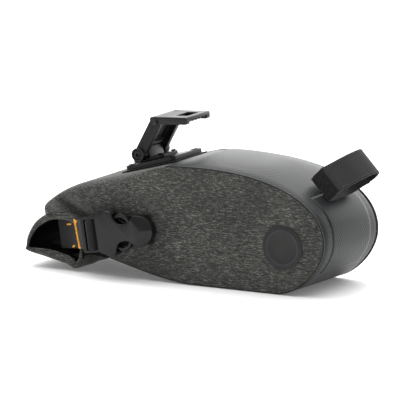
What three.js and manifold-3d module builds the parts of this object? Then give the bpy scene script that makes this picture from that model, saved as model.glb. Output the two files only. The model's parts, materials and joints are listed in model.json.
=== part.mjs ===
// Roll-top saddle bag with a saddle clip, two side-release buckles and a seatpost strap.
// Millimetres. +X is the rear (seatpost) end, -Y the near side, +Z up.
import * as THREE from 'three';
import { mergeVertices } from 'three/addons/utils/BufferGeometryUtils.js';
import Module from 'manifold-3d';

const wasm = await Module();
wasm.setup();

// ---------- driving dimensions ----------

const gap = 0.3; // air left between two pieces that touch on the real bag
const runningFit = 0.25; // radial play of a pin or screw in its hole
const degrees = Math.PI / 180;

// side profile of the bag: x along the bag, z above the floor
const bag = {
  rearX: 37,
  rearZ: 36,
  rearRise: 25, // how far the rear end stays upright above rearZ
  rearDrop: 17, // and below it
  crestX: -56,
  crestZ: 79.6,
  crestReach: 60, // length of the flat run behind the crest
  crestLead: 12, // and ahead of it
  deckRearX: -84,
  deckRearZ: 78.6,
  mouthX: -128,
  mouthTopZ: 66.6,
  mouthBottomZ: 11.6,
  bellyRearX: 0,
  bellyReach: 17,
  bellyFrontX: -66,
  bellyLead: 14,
  halfWidth: 37.5,
  mouthNarrowing: 2, // taken off each side at the mouth
  taperX: -96, // the sides run parallel behind this
};
const mouthHalfWidth = bag.halfWidth - bag.mouthNarrowing;
const overrun = 24; // outlines run this far past an open mouth before they are cut

const panelThickness = 2.6;
const gussetThickness = 2.2;
const bindingThickness = 1.2;
const bindingDepth = 3;
const stiffenerThickness = 1.5;
const disc = { x: 6, z: 32, radius: 15, thickness: 0.6 };

const collar = { wall: 2, kneeX: -150, kneeZ: 58, brimX: -166, brimZ: 51, tipX: -181, tipZ: 36 };
const collarHem = { x: -136, z: 12.2, lowX: -150, lowZ: 6.6 };
const roll = { wall: 2.6, leftX: -192, bottomZ: 3.8, topZ: 38.6, rightX: -149.5 };
const closureTravel = 22; // how far the roll draws out once its buckles are open

const webbing = { width: 20, thickness: 1.6 };
const buckle = {
  x: -129.6, // centre of the socket's mouth
  z: 29.6,
  tilt: 9 * degrees,
  depth: 8.6,
  wall: 2,
  sideWall: 3,
  neck: 5.6,
  nose: 10.8,
  length: 40.4,
};
const plug = { length: 14, rail: 1.7, play: 0.6, thickness: 4.2, bar: 2.5, slot: 3.1, tongue: 2.2 };
const arm = { rootV: 7, reach: 23.5, thickness: 2.1, depth: 3.8 };

const mount = { x: -106, halfLength: 19.5, halfWidth: 19.5, patchMargin: 2.6, patch: 0.8 };
const base = { thickness: 2.8, corner: 3 };
const backing = { thickness: 1.6, margin: 1.5 };
const screw = { shank: 1.3, head: 2.9, headHeight: 1.4, inset: 4, length: 11 };
const carriage = { lengthAhead: 9, lengthBehind: 15, thickness: 2 };
const rivet = { shank: 1.2, head: 1.9, headHeight: 0.8, x: 3.4, y: 8.6 };
const axle = { x: -8.7, height: 9.9, shank: 2, head: 3.1, headHeight: 2.1, key: 1.4 };
const knuckle = { halfWidth: 9, half: 4.2 };
const clip = {
  cheekInner: 11.5,
  cheekOuter: 15.5,
  bossOuter: 17.7,
  bossRadius: 4.6,
  armHalf: 3.8,
  cornerX: 12.3,
  cornerZ: 22.9,
  railLength: 24.5,
  railTilt: 4 * degrees,
  railDepth: 4.9,
  plate: 2.2,
  windowLength: 9,
  windowHalf: 8,
};
const clipTooth = { count: 5, width: 2.6, drop: 1.5, length: 2.4 };
const pin = { radius: 1.1, head: 1.9, headHeight: 0.7 };
const latch = { barrel: 2.2, length: 17, thickness: 2, window: 9, rim: 2.4, springRoom: 3.6 };
const spring = { wire: 0.35, turns: 3 };

const strap = {
  width: 20,
  thickness: 1.8,
  slope: 46 * degrees,
  offset: 13.8, // from the point where it touches the bag up to its own centre
  nearY: -13.6,
  farY: 26,
  nearHeight: 13.2,
  bend: 2.2,
  sewnLength: 20,
  farHeight: 17.97,
};
const anchorPatch = { thickness: 0.9, halfWidth: 26, above: 8, below: 42 };

// ---------- solids ----------

function toSolid(geometry) {
  const plain = geometry.clone();
  plain.deleteAttribute('normal');
  plain.deleteAttribute('uv');
  const merged = mergeVertices(plain, 1e-4);
  const vertProperties = new Float32Array(merged.attributes.position.array);
  const triVerts = new Uint32Array(merged.index.array);
  return new wasm.Manifold(new wasm.Mesh({ numProp: 3, vertProperties, triVerts }));
}

function toGeometry(solid) {
  const mesh = solid.getMesh();
  const geometry = new THREE.BufferGeometry();
  geometry.setAttribute('position', new THREE.BufferAttribute(mesh.vertProperties, 3));
  geometry.setIndex(new THREE.BufferAttribute(mesh.triVerts, 1));
  const faceted = geometry.toNonIndexed();
  faceted.computeVertexNormals();
  return faceted;
}

function extrude(shape, depth, curveSegments = 10) {
  return new THREE.ExtrudeGeometry(shape, { depth, curveSegments, bevelEnabled: false });
}

// an outline in x, z carried along Y
function alongY(shape, yLow, yHigh) {
  const geometry = extrude(shape, yHigh - yLow);
  geometry.rotateX(Math.PI / 2);
  geometry.translate(0, yHigh, 0);
  return toSolid(geometry);
}

// an outline in x, y carried along Z
function alongZ(shape, zLow, zHigh) {
  const geometry = extrude(shape, zHigh - zLow);
  geometry.translate(0, 0, zLow);
  return toSolid(geometry);
}

// an outline in y, z carried along X
function alongX(shape, xLow, xHigh) {
  const geometry = extrude(shape, xHigh - xLow);
  const turn = new THREE.Matrix4().makeBasis(
    new THREE.Vector3(0, 1, 0),
    new THREE.Vector3(0, 0, 1),
    new THREE.Vector3(1, 0, 0),
  );
  geometry.applyMatrix4(turn);
  geometry.translate(xLow, 0, 0);
  return toSolid(geometry);
}

function box(xLow, xHigh, yLow, yHigh, zLow, zHigh) {
  const geometry = new THREE.BoxGeometry(xHigh - xLow, yHigh - yLow, zHigh - zLow);
  geometry.translate((xLow + xHigh) / 2, (yLow + yHigh) / 2, (zLow + zHigh) / 2);
  return toSolid(geometry);
}

function rodY(radius, x, z, yLow, yHigh, segments = 20) {
  const geometry = new THREE.CylinderGeometry(radius, radius, yHigh - yLow, segments);
  geometry.translate(x, (yLow + yHigh) / 2, z);
  return toSolid(geometry);
}

function rodZ(radius, x, y, zLow, zHigh, segments = 16) {
  const geometry = new THREE.CylinderGeometry(radius, radius, zHigh - zLow, segments);
  geometry.rotateX(Math.PI / 2);
  geometry.translate(x, y, (zLow + zHigh) / 2);
  return toSolid(geometry);
}

const shapeOf = (points) => new THREE.Shape(points);
const point = (x, y) => new THREE.Vector2(x, y);
const wide = 200; // longer than the bag in every direction
const halfSpaceY = (side) => (side < 0 ? box(-2 * wide, wide, -wide, 0, -wide, wide) : box(-2 * wide, wide, 0, wide, -wide, wide));
const slab = (y1, y2) => [Math.min(y1, y2), Math.max(y1, y2)];

function roundedRectangle(xLow, xHigh, yLow, yHigh, radius) {
  const shape = new THREE.Shape();
  shape.absarc(xHigh - radius, yHigh - radius, radius, 0, Math.PI / 2, false);
  shape.absarc(xLow + radius, yHigh - radius, radius, Math.PI / 2, Math.PI, false);
  shape.absarc(xLow + radius, yLow + radius, radius, Math.PI, 1.5 * Math.PI, false);
  shape.absarc(xHigh - radius, yLow + radius, radius, 1.5 * Math.PI, 2 * Math.PI, false);
  return shape;
}

// a bar with round ends from a to b
function barOutline(a, b, radius) {
  const angle = Math.atan2(b.y - a.y, b.x - a.x);
  const shape = new THREE.Shape();
  shape.absarc(b.x, b.y, radius, angle - Math.PI / 2, angle + Math.PI / 2, false);
  shape.absarc(a.x, a.y, radius, angle + Math.PI / 2, angle + 1.5 * Math.PI, false);
  return shape;
}

// moves a clockwise outline inwards (or outwards with a negative distance)
function inset(points, distance) {
  const count = points.length;
  return points.map((here, i) => {
    const before = points[(i + count - 1) % count];
    const after = points[(i + 1) % count];
    const arriving = here.clone().sub(before).normalize();
    const leaving = after.clone().sub(here).normalize();
    const inward = point(arriving.y, -arriving.x);
    const mitre = point(arriving.y + leaving.y, -arriving.x - leaving.x).normalize();
    return here.clone().addScaledVector(mitre, distance / mitre.dot(inward));
  });
}

// a strip of the given thickness along a smooth path
function ribbon(curve, thickness, steps = 16) {
  const left = [];
  const right = [];
  for (let i = 0; i <= steps; i += 1) {
    const here = curve.getPoint(i / steps);
    const along = curve.getTangent(i / steps);
    const across = point(-along.y, along.x).multiplyScalar(thickness / 2);
    left.push(here.clone().add(across));
    right.unshift(here.clone().sub(across));
  }
  return shapeOf([...left, ...right]);
}

// ---------- materials and meshes ----------

const material = (color, roughness, metalness = 0) => new THREE.MeshStandardMaterial({ color, roughness, metalness });
const heather = () => material('#4a4b49', 0.92);
const coated = () => material('#4d5357', 0.55);
const nylon = () => material('#1d1e1f', 0.6);
const web = () => material('#161616', 0.85);
const plastic = () => material('#232426', 0.42);
const foam = () => material('#2b2c2e', 0.95);
const steel = () => material('#3b3d40', 0.35, 0.9);

function named(name, solid, finish) {
  const mesh = new THREE.Mesh(toGeometry(solid), finish);
  mesh.name = name;
  return mesh;
}

const sides = [
  { name: 'near', sign: -1 },
  { name: 'far', sign: 1 },
];

// ---------- bag body ----------

const deckSlope = (bag.deckRearZ - bag.mouthTopZ) / (bag.deckRearX - bag.mouthX);
const deckTilt = Math.atan(deckSlope);

function bagProfile() {
  const keelSlope = -bag.mouthBottomZ / (bag.bellyFrontX - bag.mouthX);
  const shape = new THREE.Shape();
  shape.moveTo(bag.mouthX - overrun, bag.mouthTopZ - overrun * deckSlope);
  shape.lineTo(bag.deckRearX, bag.deckRearZ);
  shape.quadraticCurveTo(bag.crestX - bag.crestLead, bag.crestZ, bag.crestX, bag.crestZ);
  shape.bezierCurveTo(
    bag.crestX + bag.crestReach, bag.crestZ, bag.rearX, bag.rearZ + bag.rearRise, bag.rearX, bag.rearZ,
  );
  shape.bezierCurveTo(
    bag.rearX, bag.rearZ - bag.rearDrop, bag.bellyRearX + bag.bellyReach, 0, bag.bellyRearX, 0,
  );
  shape.lineTo(bag.bellyFrontX, 0);
  shape.quadraticCurveTo(
    bag.bellyFrontX - bag.bellyLead, 0, bag.mouthX, bag.mouthBottomZ,
  );
  shape.lineTo(bag.mouthX - overrun, bag.mouthBottomZ - overrun * keelSlope);
  return shape.getPoints(14);
}

const profile = bagProfile();
const behindMouth = box(bag.mouthX, wide, -wide, wide, -wide, wide);
const profileSolid = (depth) => alongY(shapeOf(inset(profile, depth)), -wide / 2, wide / 2);
const ring = (depth) => profileSolid(0).subtract(profileSolid(depth)).intersect(behindMouth);

// the bag seen from above, drawn in from its sides by depth
function planSolid(depth) {
  const run = 3 * overrun;
  const slope = bag.mouthNarrowing / (bag.taperX - bag.mouthX);
  const front = mouthHalfWidth - run * slope - depth;
  const full = bag.halfWidth - depth;
  const outline = [
    point(bag.mouthX - run, -front),
    point(bag.taperX, -full),
    point(wide, -full),
    point(wide, full),
    point(bag.taperX, full),
    point(bag.mouthX - run, front),
  ];
  return alongZ(shapeOf(outline), -wide, wide);
}

function sidePanels() {
  const skin = planSolid(0).subtract(planSolid(panelThickness));
  const panel = profileSolid(0).intersect(behindMouth).intersect(skin);
  return sides.map(({ name, sign }) => named(`side_panel_${name}`, panel.intersect(halfSpaceY(sign)), heather()));
}

// the heather panel under the clip ends where the coated gusset starts
const deckCut = box(bag.mouthX - 1, bag.deckRearX, -wide, wide, bag.mouthTopZ / 2, wide);
const deckCutWide = box(bag.mouthX - 1, bag.deckRearX + gap, -wide, wide, bag.mouthTopZ / 2, wide);

const bindingInset = panelThickness + gap;
const gussetInset = bindingInset + bindingThickness + gap;

function seamBindings() {
  const strip = planSolid(bindingInset).subtract(planSolid(bindingInset + bindingThickness));
  const binding = ring(bindingDepth).intersect(strip).subtract(deckCutWide);
  return sides.map(({ name, sign }) => named(`seam_binding_${name}`, binding.intersect(halfSpaceY(sign)), nylon()));
}

function gussetBand() {
  const band = ring(gussetThickness).intersect(planSolid(gussetInset)).subtract(deckCutWide);
  return named('gusset_band', band, coated());
}

function stiffeners() {
  const sheet = planSolid(bindingInset).subtract(planSolid(bindingInset + stiffenerThickness));
  const solid = profileSolid(bindingDepth + gap).intersect(behindMouth).intersect(sheet);
  return sides.map(({ name, sign }) => named(`side_stiffener_${name}`, solid.intersect(halfSpaceY(sign)), foam()));
}

function floorStiffener() {
  const low = gussetThickness + gap;
  const side = bag.halfWidth - gussetInset - stiffenerThickness - 2 * gap;
  const solid = box(bag.bellyFrontX, bag.bellyRearX, -side, side, low, low + stiffenerThickness);
  return named('floor_stiffener', solid, foam());
}

function labelDisc() {
  const outer = -bag.halfWidth - gap;
  const solid = rodY(disc.radius, disc.x, disc.z, outer - disc.thickness, outer, 48);
  return named('label_disc', solid, nylon());
}

// ---------- saddle clip mount, in a frame that lies on the deck ----------

const mountZ = bag.mouthTopZ + deckSlope * (mount.x - bag.mouthX);
const mountMatrix = new THREE.Matrix4()
  .makeTranslation(mount.x, 0, mountZ)
  .multiply(new THREE.Matrix4().makeRotationY(-deckTilt));
const onDeck = (solid) => solid.transform(mountMatrix.elements);

const patchTop = gap + mount.patch;
const baseLow = patchTop + gap;
const baseTop = baseLow + base.thickness;
const carriageLow = baseTop + gap;
const carriageTop = carriageLow + carriage.thickness;

function screwPlaces() {
  const x = mount.halfLength - screw.inset;
  const y = mount.halfWidth - screw.inset;
  return [
    { name: 'front_near', x: -x, y: -y },
    { name: 'front_far', x: -x, y },
    { name: 'rear_near', x, y: -y },
    { name: 'rear_far', x, y },
  ];
}

function drillScrews(solid) {
  const hole = screw.shank + runningFit;
  return screwPlaces().reduce((left, at) => left.subtract(rodZ(hole, at.x, at.y, -wide, wide)), solid);
}

function drillRivets(solid) {
  const hole = rivet.shank + runningFit;
  return [-1, 1].reduce((left, side) => left.subtract(rodZ(hole, rivet.x, side * rivet.y, -wide, wide)), solid);
}

function deckPanel() {
  const skin = ring(gussetThickness).intersect(planSolid(bindingInset)).intersect(deckCut);
  const holes = drillScrews(box(-wide, wide, -wide, wide, -wide, wide));
  return named('deck_panel', skin.intersect(onDeck(holes)), heather());
}

function mountPatch() {
  const x = mount.halfLength + mount.patchMargin;
  const y = mount.halfWidth + mount.patchMargin;
  const plate = alongZ(roundedRectangle(-x, x, -y, y, base.corner), gap, patchTop);
  return named('mount_patch', drillRivets(drillScrews(plate)), nylon());
}

function mountBase() {
  const { halfLength: x, halfWidth: y } = mount;
  const plate = alongZ(roundedRectangle(-x, x, -y, y, base.corner), baseLow, baseTop);
  return named('mount_base', drillRivets(drillScrews(plate)), plastic());
}

function backingPlate() {
  const x = mount.halfLength - backing.margin;
  const y = mount.halfWidth - backing.margin;
  const high = -gussetThickness - gap;
  const plate = alongZ(roundedRectangle(-x, x, -y, y, base.corner), high - backing.thickness, high);
  return named('backing_plate', drillScrews(plate), plastic());
}

function baseScrews() {
  const low = baseTop + gap;
  return screwPlaces().map(({ name, x, y }) => {
    const head = rodZ(screw.head, x, y, low, low + screw.headHeight, 20);
    const recess = rodZ(screw.head / 2, x, y, low + screw.headHeight / 2, low + 2 * screw.headHeight, 6);
    const shank = rodZ(screw.shank, x, y, low - screw.length, low + 0.1);
    return named(`base_screw_${name}`, head.subtract(recess).add(shank), steel());
  });
}

function hingeCarriage() {
  const xLow = axle.x - carriage.lengthAhead;
  const xHigh = axle.x + carriage.lengthBehind;
  const halfWidth = clip.cheekInner - gap;
  const outline = roundedRectangle(xLow, xHigh, -halfWidth, halfWidth, base.corner);
  const flange = alongZ(outline, carriageLow, carriageTop);
  const outlineBlock = roundedRectangle(
    axle.x - knuckle.half, axle.x + knuckle.half, carriageLow, axle.height + knuckle.half, 1.2,
  );
  const block = alongY(outlineBlock, -knuckle.halfWidth, knuckle.halfWidth);
  const bore = rodY(axle.shank + runningFit, axle.x, axle.height, -wide, wide);
  return named('hinge_carriage', drillRivets(flange.add(block).subtract(bore)), plastic());
}

function carriageRivets() {
  const low = carriageTop + gap;
  return sides.map(({ name, sign }) => {
    const y = sign * rivet.y;
    const head = rodZ(rivet.head, rivet.x, y, low, low + rivet.headHeight);
    const shank = rodZ(rivet.shank, rivet.x, y, gap, low + 0.1);
    return named(`carriage_rivet_${name}`, head.add(shank), steel());
  });
}

// ---------- hinged clip, in a frame on the axle ----------

const corner = point(clip.cornerX, clip.cornerZ);
const railTop = clip.armHalf - 0.2;

function axleParts() {
  const inner = clip.bossOuter - gap - axle.headHeight;
  const head = rodY(axle.head, 0, 0, -clip.bossOuter + gap, -inner);
  const shank = rodY(axle.shank, 0, 0, -inner - 0.1, clip.bossOuter - gap);
  const key = rodY(axle.key, 0, 0, -wide, -inner - axle.headHeight / 3, 6);
  const nutBlank = rodY(axle.head, 0, 0, inner, clip.bossOuter - 2 * gap, 6);
  const nut = nutBlank.subtract(rodY(axle.shank + runningFit, 0, 0, -wide, wide));
  return [
    named('pivot_bolt', head.add(shank).subtract(key), steel()),
    named('pivot_nut', nut, steel()),
  ];
}

function bushes() {
  return sides.map(({ name, sign }) => {
    const [low, high] = slab(sign * (knuckle.halfWidth + gap), sign * (clip.cheekInner - gap));
    const ringSolid = rodY(axle.height - carriageTop - gap, 0, 0, low, high);
    const bore = rodY(axle.shank + runningFit, 0, 0, -wide, wide);
    return named(`pivot_bush_${name}`, ringSolid.subtract(bore), nylon());
  });
}

// the top rail and plate, drawn level and then tipped about the corner
function clipTop() {
  const end = clip.railLength;
  const rail = roundedRectangle(-clip.armHalf, end, railTop - clip.railDepth, railTop, 1.4);
  const rails = alongY(rail, -clip.cheekOuter, clip.cheekOuter);
  const hollow = box(-wide, wide, -clip.cheekInner, clip.cheekInner, -wide, railTop - clip.plate);
  const windowEnd = end - clipTooth.length - 1.2;
  const window = box(windowEnd - clip.windowLength, windowEnd, -clip.windowHalf, clip.windowHalf, -wide, wide);
  const top = rails.subtract(hollow).subtract(window);
  const pitch = (2 * clip.cheekInner) / clipTooth.count;
  let toothed = top;
  for (let i = 0; i < clipTooth.count; i += 1) {
    const y = -clip.cheekInner + pitch * (i + 0.5);
    const low = railTop - clip.plate - clipTooth.drop;
    const tooth = box(
      end - clipTooth.length - 1, end - 1, y - clipTooth.width / 2, y + clipTooth.width / 2, low, railTop - 0.5,
    );
    toothed = toothed.add(tooth);
  }
  const tip = new THREE.Matrix4()
    .makeTranslation(corner.x, 0, corner.y)
    .multiply(new THREE.Matrix4().makeRotationY(-clip.railTilt));
  return toothed.transform(tip.elements);
}

function clipBracket() {
  let solid = clipTop();
  const barrelRoom = rodY(latch.barrel + gap, corner.x, corner.y, -clip.cheekInner, clip.cheekInner);
  solid = solid.subtract(barrelRoom);
  for (const { sign } of sides) {
    const [low, high] = slab(sign * clip.cheekInner, sign * clip.cheekOuter);
    solid = solid.add(alongY(barOutline(point(0, 0), corner, clip.armHalf), low, high));
    const [bossLow, bossHigh] = slab(sign * clip.cheekInner, sign * clip.bossOuter);
    solid = solid.add(rodY(clip.bossRadius, 0, 0, bossLow, bossHigh, 28));
    const seat = clip.bossOuter - 2 * gap - axle.headHeight;
    const [seatLow, seatHigh] = slab(sign * seat, sign * wide);
    solid = solid.subtract(rodY(axle.head + gap, 0, 0, seatLow, seatHigh, 28));
  }
  solid = solid.subtract(rodY(axle.shank + runningFit, 0, 0, -wide, wide));
  solid = solid.subtract(rodY(pin.radius + runningFit, corner.x, corner.y, -wide, wide));
  return named('clip_bracket', solid, plastic());
}

function cornerPin() {
  const end = clip.cheekOuter + gap;
  let solid = rodY(pin.radius, corner.x, corner.y, -end, end);
  for (const { sign } of sides) {
    const [low, high] = slab(sign * end, sign * (end + pin.headHeight));
    solid = solid.add(rodY(pin.head, corner.x, corner.y, low, high));
  }
  return named('corner_pin', solid, steel());
}

function latchLever() {
  const half = clip.cheekInner - gap;
  const barrelHigh = half - latch.springRoom;
  const towardsAxle = corner.clone().negate().normalize();
  const end = corner.clone().addScaledVector(towardsAxle, latch.length - latch.thickness / 2);
  const plate = alongY(barOutline(corner, end, latch.thickness / 2), -half, half);
  const barrel = rodY(latch.barrel, corner.x, corner.y, -half, barrelHigh);
  const springCut = rodY(latch.barrel + gap, corner.x, corner.y, barrelHigh, wide);
  const middle = corner.clone().addScaledVector(towardsAxle, latch.length / 2 + 1.6);
  const windowBox = box(-latch.window / 2, latch.window / 2, -half + latch.rim, half - latch.rim, -9, 9);
  const angle = Math.atan2(towardsAxle.y, towardsAxle.x);
  const place = new THREE.Matrix4()
    .makeTranslation(middle.x, 0, middle.y)
    .multiply(new THREE.Matrix4().makeRotationY(-angle));
  const bore = rodY(pin.radius + runningFit, corner.x, corner.y, -wide, wide);
  const lever = plate.subtract(springCut).add(barrel).subtract(bore).subtract(windowBox.transform(place.elements));
  return named('latch_lever', lever, plastic());
}

class Helix extends THREE.Curve {
  constructor(radius, turns, yLow, yHigh) {
    super();
    Object.assign(this, { radius, turns, yLow, yHigh });
  }

  getPoint(t, target = new THREE.Vector3()) {
    const angle = t * this.turns * 2 * Math.PI;
    const y = this.yLow + t * (this.yHigh - this.yLow);
    return target.set(this.radius * Math.cos(angle), y, this.radius * Math.sin(angle));
  }
}

function latchSpring() {
  const high = clip.cheekInner - gap - spring.wire;
  const low = high - latch.springRoom + gap + 2 * spring.wire + gap;
  const coil = pin.radius + runningFit + 2 * spring.wire;
  const extrudePath = new Helix(coil, spring.turns, low, high);
  const section = new THREE.Shape();
  section.absarc(0, 0, spring.wire, 0, 2 * Math.PI, false);
  const steps = spring.turns * 14;
  const wire = new THREE.ExtrudeGeometry(section, { steps, extrudePath, curveSegments: 6, bevelEnabled: false });
  wire.translate(corner.x, 0, corner.y);
  return named('latch_spring', toSolid(wire), steel());
}

// ---------- rolled closure ----------

function rollOutline() {
  const { leftX, bottomZ, topZ, rightX } = roll;
  const length = rightX - leftX;
  const places = [
    point(rightX, bottomZ + 8),
    point(rightX - 0.07 * length, bottomZ + 1.6),
    point(rightX - 0.2 * length, bottomZ),
    point(rightX - 0.36 * length, bottomZ + 3.4),
    point(rightX - 0.66 * length, bottomZ + 5),
    point(leftX + 1, bottomZ + 7.4),
    point(leftX, bottomZ + 15),
    point(leftX + 7, topZ - 7),
    point(leftX + 19, topZ),
    point(rightX - 8, topZ - 1.6),
    point(rightX - 0.6, topZ - 11),
  ];
  const curve = new THREE.CatmullRomCurve3(places.map((p) => new THREE.Vector3(p.x, p.y, 0)), true);
  return curve.getPoints(44).slice(0, -1).map((p) => point(p.x, p.y));
}

const rollPoints = rollOutline();
const rollSolid = (depth) => alongY(shapeOf(inset(rollPoints, depth)), -wide / 2, wide / 2);

function collarProfile() {
  const shape = new THREE.Shape();
  shape.moveTo(bag.mouthX + overrun, bag.mouthTopZ + overrun * deckSlope);
  shape.lineTo(bag.mouthX + overrun, bag.mouthBottomZ);
  shape.lineTo(bag.mouthX, bag.mouthBottomZ);
  shape.lineTo(collarHem.x, collarHem.z);
  shape.lineTo(collarHem.lowX, collarHem.lowZ);
  shape.lineTo(collar.tipX, collar.tipZ);
  shape.quadraticCurveTo(collar.tipX + 4, collar.tipZ + 9, collar.brimX, collar.brimZ);
  shape.quadraticCurveTo(collar.kneeX - 8, collar.kneeZ - 2.4, collar.kneeX, collar.kneeZ);
  shape.lineTo(bag.mouthX, bag.mouthTopZ);
  return shape.getPoints(8);
}

// the space that the roll takes up at rest and as it is drawn out
function rollRoom(margin) {
  const atRest = rollSolid(-margin);
  const along = -closureTravel * Math.cos(buckle.tilt);
  const down = -closureTravel * Math.sin(buckle.tilt);
  return wasm.Manifold.hull([atRest, atRest.translate([along, 0, down])]);
}

function closureCollar() {
  const points = collarProfile();
  const block = (depth) => alongY(shapeOf(inset(points, depth)), -wide / 2, wide / 2).intersect(planSolid(depth));
  const outer = block(0).subtract(rollRoom(gap));
  const inner = block(collar.wall).subtract(rollRoom(gap + collar.wall));
  const ahead = box(-2 * wide, bag.mouthX - gap, -wide, wide, -wide, wide);
  return named('closure_collar', outer.subtract(inner).intersect(ahead), heather());
}

// ---------- buckles, in a frame on the mouth of the socket: u runs rearward, v up ----------

const plugHalf = webbing.width / 2 + gap + plug.rail;
const cavityHalf = plugHalf + plug.play;
const panelFace = bag.halfWidth + gap;
const buckleLow = panelFace + webbing.thickness + gap;
const buckleHigh = buckleLow + buckle.depth;
const buckleMiddle = (buckleLow + buckleHigh) / 2;
const buckleMatrix = new THREE.Matrix4()
  .makeTranslation(buckle.x, 0, buckle.z)
  .multiply(new THREE.Matrix4().makeRotationY(-buckle.tilt));

function socketOutline() {
  const { neck, nose, length } = buckle;
  const shoulder = cavityHalf + buckle.sideWall;
  const scallopStart = 12;
  const scallopEnd = 27.6;
  const middle = (scallopStart + scallopEnd) / 2;
  const upper = new THREE.Shape();
  upper.moveTo(0, shoulder - 3);
  upper.quadraticCurveTo(3.4, shoulder - 2.6, 6.4, shoulder);
  upper.quadraticCurveTo(scallopStart - 1.4, shoulder, scallopStart, shoulder - 3);
  upper.bezierCurveTo(scallopStart + 1, neck + 1.5, middle - 4, neck, middle, neck);
  upper.bezierCurveTo(middle + 4, neck, scallopEnd - 2, neck + 1.5, scallopEnd, nose);
  upper.bezierCurveTo(scallopEnd + 7, nose, length, nose / 2, length, 0);
  const half = upper.getPoints(8);
  const mirrored = half.slice(0, -1).reverse().map((p) => point(p.x, -p.y));
  return shapeOf([...half, ...mirrored]);
}

function buckleSocket({ name, sign }) {
  const [low, high] = slab(sign * buckleLow, sign * buckleHigh);
  const body = alongY(socketOutline(), low, high);
  const { wall, length, nose } = buckle;
  const armEnd = arm.reach + 2;
  const room = shapeOf([
    point(-1, -cavityHalf),
    point(armEnd - 4, -cavityHalf),
    point(length - 9, 3 - nose),
    point(length - 9, nose - 3),
    point(armEnd - 4, cavityHalf),
    point(-1, cavityHalf),
  ]);
  return named(`buckle_socket_${name}`, body.subtract(alongY(room, low + wall, high - wall)), plastic());
}

function socketTab({ name, sign }) {
  const [low, high] = slab(sign * panelFace, sign * (panelFace + webbing.thickness));
  const half = webbing.width / 2;
  const outline = roundedRectangle(4, buckle.length - 4, -half, half, 1);
  return named(`socket_tab_${name}`, alongY(outline, low, high), web());
}

function buckleSlots() {
  const { length, bar, slot } = plug;
  return [
    { from: -length + bar, to: -length + bar + slot },
    { from: -bar - gap - slot, to: -bar - gap },
  ];
}

function buckleFrame({ name, sign }) {
  const half = plug.thickness / 2;
  const middle = sign * buckleMiddle;
  const frame = alongY(roundedRectangle(-plug.length, -gap, -plugHalf, plugHalf, 1.6), middle - half, middle + half);
  const slotHalf = webbing.width / 2 + gap;
  let solid = frame;
  for (const { from, to } of buckleSlots()) {
    solid = solid.subtract(box(from, to, -wide, wide, -slotHalf, slotHalf));
  }
  const tongue = box(-1, arm.reach - 4, middle - half + 0.4, middle + half - 0.4, -plug.tongue, plug.tongue);
  return named(`buckle_plug_${name}`, solid.add(tongue), plastic());
}

function buckleArm({ name, sign }, vertical, level) {
  const middle = sign * buckleMiddle;
  const places = [
    point(gap, arm.rootV),
    point(arm.reach * 0.36, arm.rootV + 1.2),
    point(arm.reach * 0.68, cavityHalf - arm.thickness / 2 - gap),
    point(arm.reach * 0.9, arm.rootV + 2.4),
    point(arm.reach, arm.rootV - 2),
  ].map((p) => point(p.x, vertical * p.y));
  const solid = alongY(ribbon(new THREE.SplineCurve(places), arm.thickness, 14), middle - arm.depth / 2, middle + arm.depth / 2);
  return named(`plug_arm_${name}_${level}`, solid, plastic());
}

// webbing from inside the roll, round its end and through the plug
function tailSolid({ sign }, room) {
  const places = [
    point(-37, mouthHalfWidth - 16),
    point(-32, mouthHalfWidth - 6),
    point(-25, buckleMiddle - 3.6),
    point(-plug.length - 3, buckleMiddle - plug.thickness / 2 - 0.6),
    point(-plug.length - 0.6, buckleMiddle),
  ].map((p) => point(p.x, sign * p.y));
  const half = webbing.width / 2 + room;
  return alongZ(ribbon(new THREE.SplineCurve(places), webbing.thickness + 2 * room), -half, half);
}

function webTail(side) {
  return named(`web_tail_${side.name}`, tailSolid(side, 0), web());
}

function tailLoop({ name, sign }) {
  const [first, second] = buckleSlots();
  const half = webbing.width / 2;
  const barMiddle = (first.to + second.from) / 2;
  const barHalf = (second.from - first.to) / 2 + gap;
  const outer = barHalf + webbing.thickness;
  const lift = plug.thickness / 2 + gap;
  const middle = sign * buckleMiddle;
  const wrap = box(barMiddle - outer, barMiddle + outer, middle - lift - webbing.thickness, middle + lift + webbing.thickness, -half, half);
  const room = box(barMiddle - barHalf, barMiddle + barHalf, middle - lift, middle + lift, -wide, wide);
  return named(`web_loop_${name}`, wrap.subtract(room), web());
}

function rolledClosure() {
  let solid = rollSolid(0).subtract(rollSolid(roll.wall)).intersect(planSolid(0));
  for (const side of sides) {
    solid = solid.subtract(tailSolid(side, gap).transform(buckleMatrix.elements));
  }
  return named('rolled_closure', solid, heather());
}

function rollStiffener() {
  const middle = (roll.leftX + roll.rightX) / 2 - 3;
  const low = roll.bottomZ + roll.wall + 6;
  const side = mouthHalfWidth - 18;
  const solid = box(middle - 10, middle + 10, -side, side, low, low + stiffenerThickness);
  return named('roll_stiffener', solid, foam());
}

// ---------- seatpost strap, in a frame on the rear slope: x down the slope, z away from the bag ----------

// where a flat strap that slopes down to the rear touches the bag
function touchPoint(slope) {
  const outward = point(Math.sin(slope), Math.cos(slope));
  return profile.reduce((best, p) => (p.dot(outward) > best.dot(outward) ? p : best));
}

const strapFoot = touchPoint(strap.slope);
const strapLow = -strap.offset - strap.width / 2;
const strapHigh = strapLow + strap.width;
const strapLift = 2 * gap + anchorPatch.thickness;

function strapBase() {
  const half = strap.thickness / 2;
  const floor = strapLift + half;
  const near = strap.nearY + half;
  const loop = new THREE.Path();
  loop.moveTo(near, strap.nearHeight - half - gap);
  loop.lineTo(near, floor + strap.bend);
  loop.quadraticCurveTo(near, floor, near + strap.bend, floor);
  loop.lineTo(near + strap.sewnLength, floor);
  loop.bezierCurveTo(
    near + strap.sewnLength + 9, floor, strap.farY - 10, floor + 3, strap.farY - 2.4, strap.farHeight - 4.4,
  );
  return named('strap_base', alongX(ribbon(loop, strap.thickness, 36), strapLow, strapHigh), web());
}

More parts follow.
